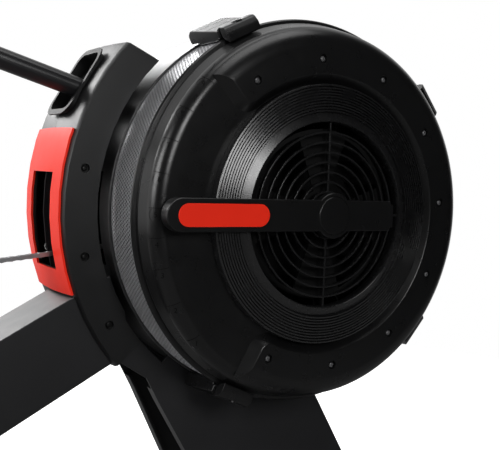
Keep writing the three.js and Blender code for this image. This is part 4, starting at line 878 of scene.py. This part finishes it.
# The chain is a roller chain with plates in two widths. What shows moves with the handle; the rest
# is stowed in the drum and comes out of the mouth as the handle is pulled.
PITCH, PULLED, HALF_HIGH = 12.7, 1.15, 0.0036
chain_steel = coated("chain_steel", "steel", (0.30, 0.30, 0.31), (0.45, 0.45, 0.46), 0.35,
                     0.001, 0.00002, metallic=0.9)
low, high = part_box("pull_chain")
run_start, run_end = Vector((low.x, 0, low.z + HALF_HIGH)), Vector((high.x, 0, high.z - HALF_HIGH))
towards_drum = (run_end - run_start).normalized()
pull = Vector(joints["handle_pull"]["axis"]).normalized()
stowed, drawn_out = Vector((0.86, 0, 0)), Vector((0.60, 0, 0))
stowed.z = run_start.z + (stowed.x - run_start.x) * towards_drum.z / towards_drum.x
drawn_out.z = run_start.z + (drawn_out.x - run_start.x) * towards_drum.z / towards_drum.x


def share(place):
    """How far a point of the run goes with the handle, from 0 to 1."""
    along = drawn_out - stowed
    t = min(max((place - stowed).dot(along) / along.length_squared, 0), 1)
    return t * t * (3 - 2 * t)


steps = 4000
run = [run_start + (run_end - run_start) * i / steps for i in range(steps + 1)]
pulled = [place + pull * PULLED * share(place) for place in run]
lengths = [0.0]
for first, second in zip(pulled, pulled[1:]):
    lengths.append(lengths[-1] + (second - first).length)


def stowed_at(length):
    """The place on the run at rest of the point at this length of the chain when it is pulled out."""
    length = min(max(length, 0.0), lengths[-1] - 1e-9)
    i = bisect(lengths, length) - 1
    part = (length - lengths[i]) / (lengths[i + 1] - lengths[i])
    return run[i].lerp(run[i + 1], part)


def plate(start, half):
    """A link plate's outline: a round end about each pin and a waist between them."""
    right = sweep_of(Vector((start + PITCH, 0)), half, -70, 70, 3)
    left = sweep_of(Vector((start, 0)), half, 110, 250, 3)
    waist = [Vector((start + PITCH / 2, side * half * 0.72)) for side in (1, -1)]
    return right + waist[:1] + left + waist[1:]


two_links = [slab(plate(0, 3.5), y, y + 1.0) for y in (-4.3, 3.3)]
two_links += [slab(plate(PITCH, 3.5), y, y + 1.0) for y in (-3.1, 2.1)]
two_links += [slab(sweep_of(Vector((u, 0)), 2.9, 0, 315, 7), -2.0, 2.0) for u in (0, PITCH)]
two_links += [slab(sweep_of(Vector((u, 0)), 1.4, 0, 300, 5), -4.7, 4.7) for u in (0, PITCH)]
links = repeated(gathered(two_links), (2 * PITCH, 0, 0), int((lengths[-1] / MM - 8) / (2 * PITCH)))
upright = Vector((-towards_drum.z, 0, towards_drum.x))
for vert in links.verts:
    vert.co = stowed_at(vert.co.x + 0.004) + upright * vert.co.z + Vector((0, vert.co.y, 0))
chain = piece("pull_chain_finished", links, chain_steel, None, ("pull_chain",))
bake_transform(chain)

import json
